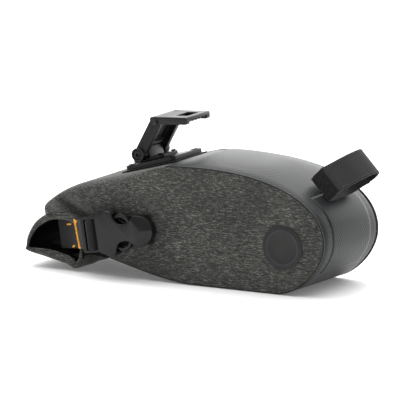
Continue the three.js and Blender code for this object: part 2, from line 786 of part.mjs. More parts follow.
function strapFlap() {
  const path = new THREE.SplineCurve([
    point(strap.nearY, strap.nearHeight + strap.thickness / 2),
    point((strap.nearY + strap.farY) / 2, (strap.nearHeight + strap.farHeight) / 2 + 1.2),
    point(strap.farY, strap.farHeight),
  ]);
  return named('strap_flap', alongX(ribbon(path, strap.thickness, 10), strapLow, strapHigh), web());
}

// welded patch that the strap is sewn to, following the rear of the bag
function strapAnchor() {
  const around = (depth) => alongY(shapeOf(inset(profile, depth)), -anchorPatch.halfWidth, anchorPatch.halfWidth);
  const skin = around(-gap - anchorPatch.thickness).subtract(around(-gap));
  const low = strapFoot.y - anchorPatch.below;
  const part = box(bag.bellyRearX, wide, -wide, wide, low, strapFoot.y + anchorPatch.above);
  return named('strap_anchor', skin.intersect(part), coated());
}

// ---------- assembly ----------

function deckGroup() {
  const group = new THREE.Group();
  group.position.set(mount.x, 0, mountZ);
  group.rotation.y = -deckTilt;
  group.add(mountPatch(), mountBase(), backingPlate(), hingeCarriage(), ...baseScrews(), ...carriageRivets());
  return group;
}

function clipGroup() {
  const group = new THREE.Group();
  const pivot = new THREE.Vector3(axle.x, 0, axle.height).applyMatrix4(mountMatrix);
  group.position.copy(pivot);
  group.add(...axleParts(), ...bushes(), clipBracket(), cornerPin(), latchLever(), latchSpring());
  return group;
}

function buckleGroup() {
  const group = new THREE.Group();
  group.position.set(buckle.x, 0, buckle.z);
  group.rotation.y = -buckle.tilt;
  for (const side of sides) {
    group.add(buckleSocket(side), socketTab(side), buckleFrame(side), webTail(side), tailLoop(side));
    group.add(buckleArm(side, 1, 'upper'), buckleArm(side, -1, 'lower'));
  }
  return group;
}

function strapGroup() {
  const group = new THREE.Group();
  group.position.set(strapFoot.x, 0, strapFoot.y);
  group.rotation.y = strap.slope;
  group.add(strapBase(), strapFlap());
  return group;
}

function saddleBag() {
  const body = new THREE.Group();
  body.add(...sidePanels(), deckPanel(), gussetBand(), ...seamBindings(), ...stiffeners(), floorStiffener());
  body.add(labelDisc(), closureCollar(), rolledClosure(), rollStiffener(), strapAnchor());
  body.add(deckGroup(), clipGroup(), buckleGroup(), strapGroup());

  // the origin is the middle of the bottom of the whole bag
  body.updateMatrixWorld(true);
  const bounds = new THREE.Box3().setFromObject(body, true);
  const middle = bounds.getCenter(new THREE.Vector3());
  body.position.set(-middle.x, -middle.y, -bounds.min.z);

  const root = new THREE.Group();
  root.name = 'saddle_bag';
  root.add(body);
  return root;
}

export default saddleBag();
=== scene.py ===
import json
import math

import bmesh
import bpy
import numpy as np
from mathutils import Matrix, Vector

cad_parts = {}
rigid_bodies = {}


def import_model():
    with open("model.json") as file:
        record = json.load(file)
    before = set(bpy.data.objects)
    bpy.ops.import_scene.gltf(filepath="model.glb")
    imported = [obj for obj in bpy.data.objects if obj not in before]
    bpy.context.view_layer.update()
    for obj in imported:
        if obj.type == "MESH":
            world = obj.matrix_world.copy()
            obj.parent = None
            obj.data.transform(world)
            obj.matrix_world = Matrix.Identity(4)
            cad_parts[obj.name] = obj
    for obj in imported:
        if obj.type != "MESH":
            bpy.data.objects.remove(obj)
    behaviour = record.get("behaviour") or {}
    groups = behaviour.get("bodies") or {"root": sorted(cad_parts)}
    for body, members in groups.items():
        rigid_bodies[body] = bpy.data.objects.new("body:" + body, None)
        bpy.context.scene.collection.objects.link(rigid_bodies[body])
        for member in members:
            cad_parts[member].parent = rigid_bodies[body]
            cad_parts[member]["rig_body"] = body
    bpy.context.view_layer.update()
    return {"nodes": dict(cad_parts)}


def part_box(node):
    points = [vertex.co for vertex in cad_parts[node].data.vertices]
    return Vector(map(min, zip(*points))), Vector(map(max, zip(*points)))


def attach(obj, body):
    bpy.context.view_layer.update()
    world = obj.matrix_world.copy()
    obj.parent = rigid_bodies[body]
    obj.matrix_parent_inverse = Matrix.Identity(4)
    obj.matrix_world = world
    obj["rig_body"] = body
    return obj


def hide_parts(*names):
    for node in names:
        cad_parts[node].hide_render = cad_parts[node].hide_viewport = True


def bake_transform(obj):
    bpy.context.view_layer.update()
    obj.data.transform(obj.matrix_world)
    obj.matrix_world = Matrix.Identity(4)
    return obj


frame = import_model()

mm = 0.001
nodes = frame["nodes"]
sides = (("near", -1), ("far", 1))

# places read from the frame: x counts from where the belly leaves the floor
panelLow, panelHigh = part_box("side_panel_near")
halfWidth = -panelLow.y / mm
crestZ = panelHigh.z / mm
rearX = 37.0
mouthX = rearX - (panelHigh.x - panelLow.x) / mm
originX = panelHigh.x / mm - rearX


def markSharp(mesh, angle):
    limit = math.radians(angle)
    for face in mesh.faces:
        face.smooth = True
    for edge in mesh.edges:
        if len(edge.link_faces) == 2:
            edge.smooth = edge.calc_face_angle(0) < limit


def tidyMesh(obj, merge=0.02, sharp=40):
    mesh = bmesh.new()
    mesh.from_mesh(obj.data)
    bmesh.ops.remove_doubles(mesh, verts=mesh.verts, dist=merge * mm)
    bmesh.ops.dissolve_degenerate(mesh, edges=mesh.edges, dist=1e-7)
    bmesh.ops.recalc_face_normals(mesh, faces=mesh.faces)
    markSharp(mesh, sharp)
    mesh.to_mesh(obj.data)
    mesh.free()
    obj.data.update()


def link(obj):
    bpy.context.scene.collection.objects.link(obj)
    return obj


# points are in mm, x counted from the belly point
def makeMesh(name, points, faces, materials, uv=None, pick=None, sharp=40):
    data = bpy.data.meshes.new(name)
    placed = [((p[0] + originX) * mm, p[1] * mm, p[2] * mm) for p in points]
    data.from_pydata(placed, [], [list(f) for f in faces])
    for material in materials:
        data.materials.append(material)
    if pick is not None:
        data.polygons.foreach_set("material_index", pick)
    if uv is not None:
        layer = data.uv_layers.new(name="UVMap")
        for loop in data.loops:
            u, v = uv[loop.vertex_index]
            layer.data[loop.index].uv = (u * mm, v * mm)
    obj = link(bpy.data.objects.new(name, data))
    tidyMesh(obj, sharp=sharp)
    return obj


def gridFaces(rows, columns, aroundRows=False, aroundColumns=False, first=0):
    faces = []
    for i in range(rows if aroundRows else rows - 1):
        for j in range(columns if aroundColumns else columns - 1):
            a, b = i, (i + 1) % rows
            c, d = j, (j + 1) % columns
            corners = (a * columns + c, a * columns + d, b * columns + d, b * columns + c)
            faces.append([first + k for k in corners])
    return faces


# joins the rims of two equal grids whose points lie a fixed count apart
def gridSkirt(rows, columns, gap):
    border = list(range(columns)) + [i * columns + columns - 1 for i in range(1, rows)]
    border += [(rows - 1) * columns + j for j in range(columns - 2, -1, -1)]
    border += [i * columns for i in range(rows - 2, 0, -1)]
    faces = []
    for k, a in enumerate(border):
        b = border[(k + 1) % len(border)]
        faces.append([a, b, b + gap, a + gap])
    return faces


def faceOutwards(obj, centre):
    total = 0.0
    middle = Vector(((centre[0] + originX) * mm, centre[1] * mm, centre[2] * mm))
    for face in obj.data.polygons:
        total += face.normal.dot(face.center - middle) * face.area
    if total < 0:
        obj.data.flip_normals()


# turns the live modifiers into plain mesh
def settle(obj):
    graph = bpy.context.evaluated_depsgraph_get()
    made = bpy.data.meshes.new_from_object(
        obj.evaluated_get(graph), preserve_all_data_layers=True, depsgraph=graph,
    )
    old = obj.data
    obj.modifiers.clear()
    obj.data = made
    name = old.name
    bpy.data.meshes.remove(old)
    made.name = name
    return obj


def thicken(obj, thickness):
    layer = obj.modifiers.new("thickness", "SOLIDIFY")
    layer.thickness = thickness * mm
    layer.offset = -1
    layer.use_even_offset = True
    layer.use_quality_normals = True
    return settle(obj)


# a bent strip: path points (x, y, z), the direction across it, its width and its thickness
def makeStrip(name, path, across, width, thickness, materials, edge=0.35):
    path = [Vector(p) for p in path]
    across = Vector(across).normalized()
    count = len(path)
    half, slim = width / 2, thickness / 2
    section = [
        (-half + edge, slim), (-half * 0.5, slim), (0, slim), (half * 0.5, slim), (half - edge, slim),
        (half, slim - edge), (half, -slim + edge),
        (half - edge, -slim), (half * 0.5, -slim), (0, -slim), (-half * 0.5, -slim), (-half + edge, -slim),
        (-half, -slim + edge), (-half, slim - edge),
    ]
    points, uv = [], []
    travelled = 0.0
    for i, here in enumerate(path):
        before = path[i - 1] if i > 0 else here
        after = path[i + 1] if i < count - 1 else here
        along = (after - before).normalized()
        out = along.cross(across).normalized()
        if i > 0:
            travelled += (here - path[i - 1]).length
        for sideways, up in section:
            points.append(here + across * sideways + out * up)
            uv.append((travelled, sideways))
    faces = gridFaces(count, len(section), aroundColumns=True)
    faces.append(list(range(len(section))))
    faces.append([(count - 1) * len(section) + k for k in range(len(section))])
    return makeMesh(name, points, faces, materials, uv=uv)


# a place from b to c on the smooth curve through four points
def between(a, b, c, d, t):
    square = (2 * a - 5 * b + 4 * c - d) * t ** 2
    cube = (3 * b - a - 3 * c + d) * t ** 3
    return 0.5 * (2 * b + (c - a) * t + square + cube)


def smoothPath(points, steps):
    points = [np.array(p, float) for p in points]
    padded = [2 * points[0] - points[1]] + points + [2 * points[-1] - points[-2]]
    result = []
    for i in range(1, len(padded) - 2):
        a, b, c, d = padded[i - 1: i + 3]
        for k in range(steps):
            t = k / steps
            result.append(between(a, b, c, d, t))
    result.append(padded[-2])
    return result


def bezier(points, t):
    a, b, c, d = [np.array(p, float) for p in points]
    s = 1 - t
    return a * s ** 3 + 3 * b * s ** 2 * t + 3 * c * s * t ** 2 + d * t ** 3


def quadratic(points, t):
    a, b, c = [np.array(p, float) for p in points]
    s = 1 - t
    return a * s ** 2 + 2 * b * s * t + c * t ** 2


def ease(x, low, high):
    t = min(max((x - low) / (high - low), 0.0), 1.0)
    return t * t * (3 - 2 * t)


def startMaterial(name):
    material = bpy.data.materials.new(name)
    material.use_nodes = True
    tree = material.node_tree
    shader = tree.nodes["Principled BSDF"]
    return material, tree, shader


def addNode(tree, kind, inputs=None, **values):
    node = tree.nodes.new(kind)
    for key, value in values.items():
        setattr(node, key, value)
    for key, value in (inputs or {}).items():
        if isinstance(value, bpy.types.NodeSocket):
            tree.links.new(value, node.inputs[key])
        else:
            node.inputs[key].default_value = value
    return node


def coordinates(tree, scale, source="Object", turn=(0, 0, 0)):
    place = addNode(tree, "ShaderNodeTexCoord")
    mapping = addNode(tree, "ShaderNodeMapping", {"Vector": place.outputs[source]})
    mapping.inputs["Scale"].default_value = scale
    mapping.inputs["Rotation"].default_value = turn
    return mapping.outputs["Vector"]


def noise(tree, vector, scale=1.0, detail=2.0, roughness=0.5):
    node = addNode(tree, "ShaderNodeTexNoise", {"Vector": vector, "Scale": scale, "Detail": detail})
    node.inputs["Roughness"].default_value = roughness
    return node.outputs["Fac"]


def wave(tree, vector, pitch, direction="X", distortion=0.0):
    scale = 2 * math.pi / (20 * pitch * mm)
    node = addNode(
        tree, "ShaderNodeTexWave", {"Vector": vector, "Scale": scale, "Distortion": distortion},
        bands_direction=direction,
    )
    node.inputs["Detail Scale"].default_value = 2.0
    return node.outputs["Fac"]


def calc(tree, operation, a, b):
    return addNode(tree, "ShaderNodeMath", {0: a, 1: b}, operation=operation).outputs[0]


def ramp(tree, fac, stops):
    node = addNode(tree, "ShaderNodeValToRGB", {"Fac": fac})
    elements = node.color_ramp.elements
    while len(elements) < len(stops):
        elements.new(0.5)
    for element, (place, colour) in zip(elements, stops):
        element.position = place
        element.color = (*colour, 1)
    return node.outputs["Color"]


def scaled(colour, share):
    return tuple(c * share for c in colour)


def span(tree, fac, low, high):
    node = addNode(tree, "ShaderNodeMapRange", {"Value": fac, "To Min": low, "To Max": high})
    return node.outputs["Result"]


def bump(tree, height, strength, distance, shader):
    inputs = {"Height": height, "Strength": strength, "Distance": distance * mm}
    node = addNode(tree, "ShaderNodeBump", inputs)
    tree.links.new(node.outputs["Normal"], shader.inputs["Normal"])


def finishWith(tree, shader, colour, roughness, sheen=0.0, level=0.5):
    tree.links.new(colour, shader.inputs["Base Color"])
    tree.links.new(roughness, shader.inputs["Roughness"])
    shader.inputs["Sheen Weight"].default_value = sheen
    shader.inputs["Sheen Roughness"].default_value = 0.45
    shader.inputs["Specular IOR Level"].default_value = level


heatherTones = {
    "dark": (0.010, 0.010, 0.0095), "middle": (0.041, 0.041, 0.038), "light": (0.205, 0.205, 0.188),
}


# melange cloth: short light and dark yarns that run along the bag
def heatherMaterial(name):
    dark, middle, light = heatherTones["dark"], heatherTones["middle"], heatherTones["light"]
    material, tree, shader = startMaterial(name)
    streaks = noise(tree, coordinates(tree, (250, 1900, 1900)), detail=3.0, roughness=0.62)
    yarns = noise(tree, coordinates(tree, (1000, 3400, 3400)), detail=2.0, roughness=0.6)
    patches = noise(tree, coordinates(tree, (22, 30, 30)), detail=1.0)
    fleck = calc(tree, "ADD", calc(tree, "MULTIPLY", streaks, 0.55), calc(tree, "MULTIPLY", yarns, 0.45))
    shaded = calc(tree, "ADD", fleck, calc(tree, "MULTIPLY", calc(tree, "SUBTRACT", patches, 0.5), 0.10))
    colour = ramp(tree, shaded, [(0.37, dark), (0.47, middle), (0.52, middle), (0.64, light)])
    weft = wave(tree, coordinates(tree, (1, 1, 1)), 0.55, "Z", 2.0)
    warp = wave(tree, coordinates(tree, (1, 1, 1)), 0.7, "X", 2.0)
    height = calc(tree, "ADD", calc(tree, "MULTIPLY", weft, warp), calc(tree, "MULTIPLY", yarns, 1.2))
    bump(tree, height, 0.55, 0.22, shader)
    finishWith(tree, shader, colour, span(tree, yarns, 0.85, 0.98), sheen=0.28, level=0.15)
    return material


# coated cloth with fine slanting ribs; the ribs and the pressed arc follow the piece's own UV map
def coatedMaterial(name, arcAt=None, colour=(0.0150, 0.0164, 0.0168), gloss=0.24, sheen=0.04):
    material, tree, shader = startMaterial(name)
    slanted = coordinates(tree, (1, 1, 1), "UV", (0, 0, math.radians(58)))
    ribs = wave(tree, slanted, 2.1, "X", 0.3)
    cross = wave(tree, coordinates(tree, (1, 1, 1), "UV", (0, 0, math.radians(-32))), 2.1, "X", 0.3)
    cloud = noise(tree, coordinates(tree, (35, 35, 35)), detail=3.0)
    grain = noise(tree, coordinates(tree, (1500, 1500, 1500)), detail=2.0)
    weave = calc(tree, "ADD", calc(tree, "MULTIPLY", ribs, 0.75), calc(tree, "MULTIPLY", cross, 0.25))
    tone = calc(tree, "ADD", calc(tree, "MULTIPLY", weave, 0.55), calc(tree, "MULTIPLY", cloud, 0.45))
    low = scaled(colour, 0.7)
    high = scaled(colour, 1.45)
    shade = ramp(tree, tone, [(0.2, low), (0.5, colour), (0.8, high)])
    height = calc(tree, "ADD", weave, calc(tree, "MULTIPLY", grain, 0.25))
    if arcAt is not None:
        uv = addNode(tree, "ShaderNodeTexCoord")
        moved = addNode(
            tree, "ShaderNodeVectorMath", {0: uv.outputs["UV"], 1: (arcAt[0] * mm, arcAt[1] * mm, 0)},
            operation="SUBTRACT",
        )
        reach = addNode(
            tree, "ShaderNodeVectorMath", {0: moved.outputs[0]}, operation="LENGTH",
        ).outputs["Value"]
        edge = addNode(
            tree, "ShaderNodeMapRange",
            {"Value": reach, "From Min": (arcAt[2] - 0.35) * mm, "From Max": (arcAt[2] + 0.35) * mm},
            interpolation_type="SMOOTHSTEP",
        ).outputs["Result"]
        height = calc(tree, "SUBTRACT", height, calc(tree, "MULTIPLY", edge, 0.6))
    bump(tree, height, 0.45, 0.17, shader)
    finishWith(tree, shader, shade, span(tree, tone, 0.36, 0.54), sheen=sheen, level=gloss)
    return material


def plasticMaterial(name, colour=(0.0042, 0.0044, 0.0046), rough=(0.28, 0.42)):
    material, tree, shader = startMaterial(name)
    cloud = noise(tree, coordinates(tree, (60, 60, 60)), detail=4.0)
    grain = noise(tree, coordinates(tree, (2600, 2600, 2600)), detail=2.0)
    scuff = noise(tree, coordinates(tree, (220, 900, 400)), detail=5.0, roughness=0.7)
    rubbed = tuple(min(c * 2.2, 1) for c in colour)
    shade = ramp(
        tree, calc(tree, "ADD", calc(tree, "MULTIPLY", cloud, 0.6), calc(tree, "MULTIPLY", scuff, 0.4)),
        [(0.35, colour), (0.6, scaled(colour, 1.25)), (0.78, rubbed)],
    )
    bump(tree, calc(tree, "ADD", grain, calc(tree, "MULTIPLY", scuff, 0.4)), 0.16, 0.05, shader)
    worn = calc(tree, "MULTIPLY", cloud, scuff)
    finishWith(tree, shader, shade, span(tree, worn, rough[0], rough[1] + 0.25), level=0.32)
    return material


# woven tape; u runs along it and v across it
def webbingMaterial(name, pitch=1.2, colour=(0.004, 0.004, 0.0043), high=(0.017, 0.017, 0.018)):
    material, tree, shader = startMaterial(name)
    plain = coordinates(tree, (1, 1, 1), "UV")
    across = wave(tree, plain, pitch, "X", 0.3)
    along = wave(tree, plain, 0.8, "Y", 0.8)
    fibre = noise(tree, coordinates(tree, (1800, 1800, 1800)), detail=2.0)
    weave = calc(tree, "ADD", calc(tree, "MULTIPLY", across, 0.7), calc(tree, "MULTIPLY", along, 0.3))
    tone = calc(tree, "ADD", calc(tree, "MULTIPLY", weave, 0.7), calc(tree, "MULTIPLY", fibre, 0.3))
    shade = ramp(tree, tone, [(0.25, colour), (0.8, high)])
    bump(tree, calc(tree, "ADD", weave, calc(tree, "MULTIPLY", fibre, 0.3)), 0.7, 0.28, shader)
    finishWith(tree, shader, shade, span(tree, fibre, 0.66, 0.88), sheen=0.1, level=0.25)
    return material


def threadMaterial(name, colour):
    material, tree, shader = startMaterial(name)
    twist = wave(tree, coordinates(tree, (1, 1, 1), "Object", (0.3, 0.7, 0.2)), 0.35, "X", 1.0)
    fibre = noise(tree, coordinates(tree, (2500, 2500, 2500)))
    shade = ramp(
        tree, calc(tree, "MULTIPLY", calc(tree, "ADD", twist, fibre), 0.5),
        [(0.25, scaled(colour, 0.7)), (0.7, colour)],
    )
    bump(tree, twist, 0.5, 0.08, shader)
    finishWith(tree, shader, shade, span(tree, fibre, 0.5, 0.75), sheen=0.2)
    return material


def steelMaterial(name, colour=(0.022, 0.023, 0.025)):
    material, tree, shader = startMaterial(name)
    brushed = noise(tree, coordinates(tree, (300, 300, 2600)), detail=3.0)
    cloud = noise(tree, coordinates(tree, (120, 120, 120)), detail=3.0)
    shade = ramp(tree, cloud, [(0.35, scaled(colour, 0.7)), (0.7, scaled(colour, 1.5))])
    bump(tree, brushed, 0.12, 0.03, shader)
    finishWith(tree, shader, shade, span(tree, brushed, 0.28, 0.5))
    shader.inputs["Metallic"].default_value = 0.85
    return material


# hook-and-loop face: a dense mat of tiny loops
def fuzzMaterial(name):
    material, tree, shader = startMaterial(name)
    loops = noise(tree, coordinates(tree, (1400, 1400, 1400)), detail=4.0, roughness=0.75)
    clumps = noise(tree, coordinates(tree, (420, 420, 420)), detail=3.0)
    tone = calc(tree, "ADD", calc(tree, "MULTIPLY", loops, 0.6), calc(tree, "MULTIPLY", clumps, 0.4))
    stops = [(0.38, (0.003, 0.003, 0.003)), (0.55, (0.012, 0.012, 0.012)), (0.7, (0.05, 0.05, 0.05))]
    shade = ramp(tree, tone, stops)
    bump(tree, tone, 1.0, 0.6, shader)
    finishWith(tree, shader, shade, span(tree, loops, 0.8, 1.0), sheen=0.3, level=0.2)
    return material


def foamMaterial(name):
    material, tree, shader = startMaterial(name)
    cells = noise(tree, coordinates(tree, (900, 900, 900)), detail=4.0)
    shade = ramp(tree, cells, [(0.3, (0.012, 0.012, 0.013)), (0.7, (0.04, 0.04, 0.042))])
    bump(tree, cells, 0.4, 0.2, shader)
    finishWith(tree, shader, shade, span(tree, cells, 0.8, 0.95))
    return material


# matt label disc; its ring takes a lighter colour
def discMaterial(name, colour=(0.0165, 0.016, 0.0155)):
    material, tree, shader = startMaterial(name)
    grain = noise(tree, coordinates(tree, (1900, 1900, 1900)), detail=2.0)
    cloud = noise(tree, coordinates(tree, (90, 90, 90)), detail=3.0)
    shade = ramp(tree, cloud, [(0.3, scaled(colour, 0.85)), (0.7, scaled(colour, 1.2))])
    bump(tree, grain, 0.2, 0.05, shader)
    finishWith(tree, shader, shade, span(tree, grain, 0.5, 0.66), level=0.35)
    return material


heather = heatherMaterial("heatherCloth")
# black lining cloth, darkened past its own colour as painted shade; it also paints the shaded lower sides
# of the collar and the inside of the roll
liningAndPaintedShade = coatedMaterial("blackLiningAndPaintedShade", colour=(0.0022, 0.0022, 0.0024), gloss=0.05, sheen=0.0)
coated = coatedMaterial("coatedCloth")
patchCloth = coatedMaterial("patchCloth", arcAt=(188.0, 0.0, 16.5), colour=(0.0125, 0.0140, 0.0148))
plastic = plasticMaterial("mouldedNylon")
plasticLid = plasticMaterial("mouldedNylonClip", colour=(0.0075, 0.0078, 0.008), rough=(0.34, 0.48))
bindingTape = webbingMaterial("bindingTape", 0.9, (0.006, 0.006, 0.006), (0.02, 0.02, 0.021))
tape = webbingMaterial("tailWebbing", 1.0)
strapTape = webbingMaterial("strapWebbing", 1.45, (0.0035, 0.0035, 0.0036), (0.017, 0.017, 0.018))
orangeThread = threadMaterial("orangeThread", (0.95, 0.42, 0.012))
blackThread = threadMaterial("blackThread", (0.02, 0.02, 0.02))
steel = steelMaterial("blackenedSteel")
fuzz = fuzzMaterial("loopFace")
foam = foamMaterial("foamBoard")
disc = discMaterial("labelPrint")
discLine = discMaterial("labelRing", (0.032, 0.037, 0.042))
print("materials ready")


def startTree(name, sockets):
    tree = bpy.data.node_groups.new(name, "GeometryNodeTree")
    tree.interface.new_socket(name="Geometry", in_out="INPUT", socket_type="NodeSocketGeometry")
    for label, kind, value in sockets:
        socket = tree.interface.new_socket(name=label, in_out="INPUT", socket_type=kind)
        if value is not None:
            socket.default_value = value
    tree.interface.new_socket(name="Geometry", in_out="OUTPUT", socket_type="NodeSocketGeometry")
    return tree, tree.nodes.new("NodeGroupInput"), tree.nodes.new("NodeGroupOutput")


def closeTree(tree, geometry, material, end):
    realize = addNode(tree, "GeometryNodeRealizeInstances", {"Geometry": geometry})
    finish = addNode(
        tree, "GeometryNodeSetMaterial", {"Geometry": realize.outputs[0], "Material": material},
    )
    tree.links.new(finish.outputs[0], end.inputs[0])


# a curve's points set at an even step
def evenCurve(tree, curve, step):
    even = tree.nodes.new("GeometryNodeResampleCurve")
    even.mode = "LENGTH"
    tree.links.new(curve, even.inputs["Curve"])
    tree.links.new(step, even.inputs["Length"])
    return even


# a random shift for each point, no further than the tree's Wander either way
def randomShift(tree, start):
    wander = start.outputs["Wander"]
    low = calc(tree, "MULTIPLY", wander, -1.0)
    lowest = addNode(tree, "ShaderNodeCombineXYZ", {0: low, 1: low, 2: low})
    highest = addNode(tree, "ShaderNodeCombineXYZ", {0: wander, 1: wander, 2: wander})
    chance = addNode(tree, "FunctionNodeRandomValue", data_type="FLOAT_VECTOR")
    tree.links.new(lowest.outputs[0], chance.inputs["Min"])
    tree.links.new(highest.outputs[0], chance.inputs["Max"])
    tree.links.new(start.outputs["Seed"], chance.inputs["Seed"])
    return chance


# a run of short stitches along a path
def makeStitchTree():
    tree, start, end = startTree("stitchRun", [
        ("Spacing", "NodeSocketFloat", 0.002),
        ("Length", "NodeSocketFloat", 0.0014),
        ("Thread", "NodeSocketFloat", 0.0003),
        ("Wander", "NodeSocketFloat", 0.0001),
        ("Seed", "NodeSocketInt", 3),
        ("Finish", "NodeSocketMaterial", None),
    ])
    curve = addNode(tree, "GeometryNodeMeshToCurve", {"Mesh": start.outputs["Geometry"]})
    even = evenCurve(tree, curve.outputs[0], start.outputs["Spacing"])
    tangent = addNode(tree, "GeometryNodeInputTangent")
    turn = addNode(tree, "FunctionNodeAlignRotationToVector", {"Vector": tangent.outputs[0]}, axis="X")
    bead = addNode(tree, "GeometryNodeMeshUVSphere", {"Segments": 8, "Rings": 6, "Radius": 1.0})
    half = addNode(tree, "ShaderNodeMath", {0: start.outputs["Length"], 1: 0.5}, operation="MULTIPLY")
    size = addNode(
        tree, "ShaderNodeCombineXYZ",
        {"X": half.outputs[0], "Y": start.outputs["Thread"], "Z": start.outputs["Thread"]},
    )
    placed = addNode(tree, "GeometryNodeInstanceOnPoints", {
        "Points": even.outputs[0], "Instance": bead.outputs["Mesh"],
        "Rotation": turn.outputs[0], "Scale": size.outputs[0],
    })
    chance = randomShift(tree, start)
    moved = addNode(
        tree, "GeometryNodeTranslateInstances",
        {"Instances": placed.outputs[0], "Translation": chance.outputs[0]},
    )
    closeTree(tree, moved.outputs[0], start.outputs["Finish"], end)
    return tree


# one thick thread laid along a path
def makeThreadTree():
    tree, start, end = startTree("laidThread", [
        ("Thread", "NodeSocketFloat", 0.0004),
        ("Step", "NodeSocketFloat", 0.0006),
        ("Wander", "NodeSocketFloat", 0.0001),
        ("Seed", "NodeSocketInt", 5),
        ("Finish", "NodeSocketMaterial", None),
    ])
    curve = addNode(tree, "GeometryNodeMeshToCurve", {"Mesh": start.outputs["Geometry"]})
    even = evenCurve(tree, curve.outputs[0], start.outputs["Step"])
    chance = randomShift(tree, start)
    moved = addNode(
        tree, "GeometryNodeSetPosition", {"Geometry": even.outputs[0], "Offset": chance.outputs[0]},
    )
    ring = addNode(
        tree, "GeometryNodeCurvePrimitiveCircle", {"Resolution": 6, "Radius": start.outputs["Thread"]},
    )
    tube = addNode(
        tree, "GeometryNodeCurveToMesh", {"Curve": moved.outputs[0], "Profile Curve": ring.outputs[0]},
    )
    tube.inputs["Fill Caps"].default_value = True
    closeTree(tree, tube.outputs[0], start.outputs["Finish"], end)
    return tree


stitchTree = makeStitchTree()
threadTree = makeThreadTree()


# runs a tree on one or more paths and leaves a plain mesh
def growAlong(name, tree, paths, settings):
    data = bpy.data.meshes.new(name)
    points, edges = [], []
    for path in paths:
        first = len(points)
        points += [((p[0] + originX) * mm, p[1] * mm, p[2] * mm) for p in path]
        edges += [(first + i, first + i + 1) for i in range(len(path) - 1)]
    data.from_pydata(points, edges, [])
    obj = link(bpy.data.objects.new(name, data))
    layer = obj.modifiers.new("grow", "NODES")
    layer.node_group = tree
    for item in tree.interface.items_tree:
        if item.item_type == "SOCKET" and item.in_out == "INPUT" and item.name in settings:
            layer[item.identifier] = settings[item.name]
    bpy.context.view_layer.update()
    settle(obj)
    for face in obj.data.polygons:
        face.use_smooth = True
    return obj


bagCut = {
    "rearZ": 36.0, "rearRise": 25.0, "rearDrop": 17.0,
    "crestX": -56.0, "crestReach": 60.0, "crestLead": 12.0,
    "deckRearX": -84.0, "deckRearZ": 78.6, "mouthTopZ": 66.6, "mouthBottomZ": 11.6,
    "bellyReach": 17.0, "bellyFrontX": -66.0, "bellyLead": 14.0,
    "narrowing": 2.0, "taperX": -96.0,
}


def sideOutline():
    c = bagCut
    mouthTop = np.array([mouthX, c["mouthTopZ"]])
    deckRear = np.array([c["deckRearX"], c["deckRearZ"]])
    crest, rear = (c["crestX"], crestZ), (rearX, c["rearZ"])
    bellyFront, mouthBottom = (c["bellyFrontX"], 0), (mouthX, c["mouthBottomZ"])
    curves = [
        lambda t: mouthTop + (deckRear - mouthTop) * t,
        lambda t: quadratic([deckRear, (c["crestX"] - c["crestLead"], crestZ), crest], t),
        lambda t: bezier([
            crest, (c["crestX"] + c["crestReach"], crestZ), (rearX, c["rearZ"] + c["rearRise"]), rear,
        ], t),
        lambda t: bezier([rear, (rearX, c["rearZ"] - c["rearDrop"]), (c["bellyReach"], 0), (0, 0)], t),
        lambda t: np.array([c["bellyFrontX"] * t, 0.0]),
        lambda t: quadratic([bellyFront, (c["bellyFrontX"] - c["bellyLead"], 0), mouthBottom], t),
    ]
    steps = [30, 24, 90, 50, 50, 50]
    points = []
    for curve, count in zip(curves, steps):
        points += [curve(k / count) for k in range(count)]
    points.append(np.array([mouthX, c["mouthBottomZ"]]))
    return np.array(points)


outline = sideOutline()
lengths = np.concatenate([[0], np.cumsum(np.linalg.norm(np.diff(outline, axis=0), axis=1))])


# point and outward direction at a distance along the outline from the mouth's top
def onOutline(distance):
    i = int(np.clip(np.searchsorted(lengths, distance) - 1, 0, len(outline) - 2))
    t = (distance - lengths[i]) / (lengths[i + 1] - lengths[i])
    here = outline[i] + (outline[i + 1] - outline[i]) * t
    low, high = max(i - 2, 0), min(i + 3, len(outline) - 1)
    along = outline[high] - outline[low]
    along = along / np.linalg.norm(along)
    return here, np.array([-along[1], along[0]])


# distance along the outline of the point nearest to a place
def distanceOf(x, z):
    gaps = np.linalg.norm(outline - np.array([x, z]), axis=1)
    return float(lengths[int(np.argmin(gaps))])


def rayToOutline(start, direction):
    best = None
    for a, b in zip(outline[:-1], outline[1:]):
        edge = b - a
        cross = direction[0] * edge[1] - direction[1] * edge[0]
        if abs(cross) < 1e-9:
            continue
        offset = a - start
        reach = (offset[0] * edge[1] - offset[1] * edge[0]) / cross
        place = (offset[0] * direction[1] - offset[1] * direction[0]) / cross
        if reach > 0 and -1e-6 <= place <= 1 + 1e-6 and (best is None or reach < best):
            best = reach
    return best


def widthAt(x):
    return halfWidth - bagCut["narrowing"] * max(bagCut["taperX"] - x, 0) / (bagCut["taperX"] - mouthX)


# melange sleeve: both sides, the panel under the clip and the collar, one cloth
sleeve = {
    "spineEnd": (-6.0, 37.5),
    "seamRadius": 1.1,
    "mouthRadius": 8.0,
    "edgeDip": 0.6,
    "dipWidth": 9.0,
    "cloth": 1.1,
    "tip": (-184.0, 33.0),
    "hood": [(-147.0, 62.0), (-186.0, 52.5)],
    "creaseTop": (-178.0, 49.5),
    "creaseBottom": (-149.5, 34.5),
    "creaseDepth": 8.0,
    "creaseSpread": 3.2,
    "creaseFade": 6.5,
    "bandSwell": 4.6,
    # height above the mouth's bottom up to which the collar's sides are painted black as shade
    "paintedShadeTop": 11.0,
}
seamY = 1.9  # the seam lies this far in from the side


def cornerRadius(x):
    growth = sleeve["mouthRadius"] - sleeve["seamRadius"]
    return sleeve["seamRadius"] + growth * ease(-x, -bagCut["deckRearX"] + 6, -mouthX)


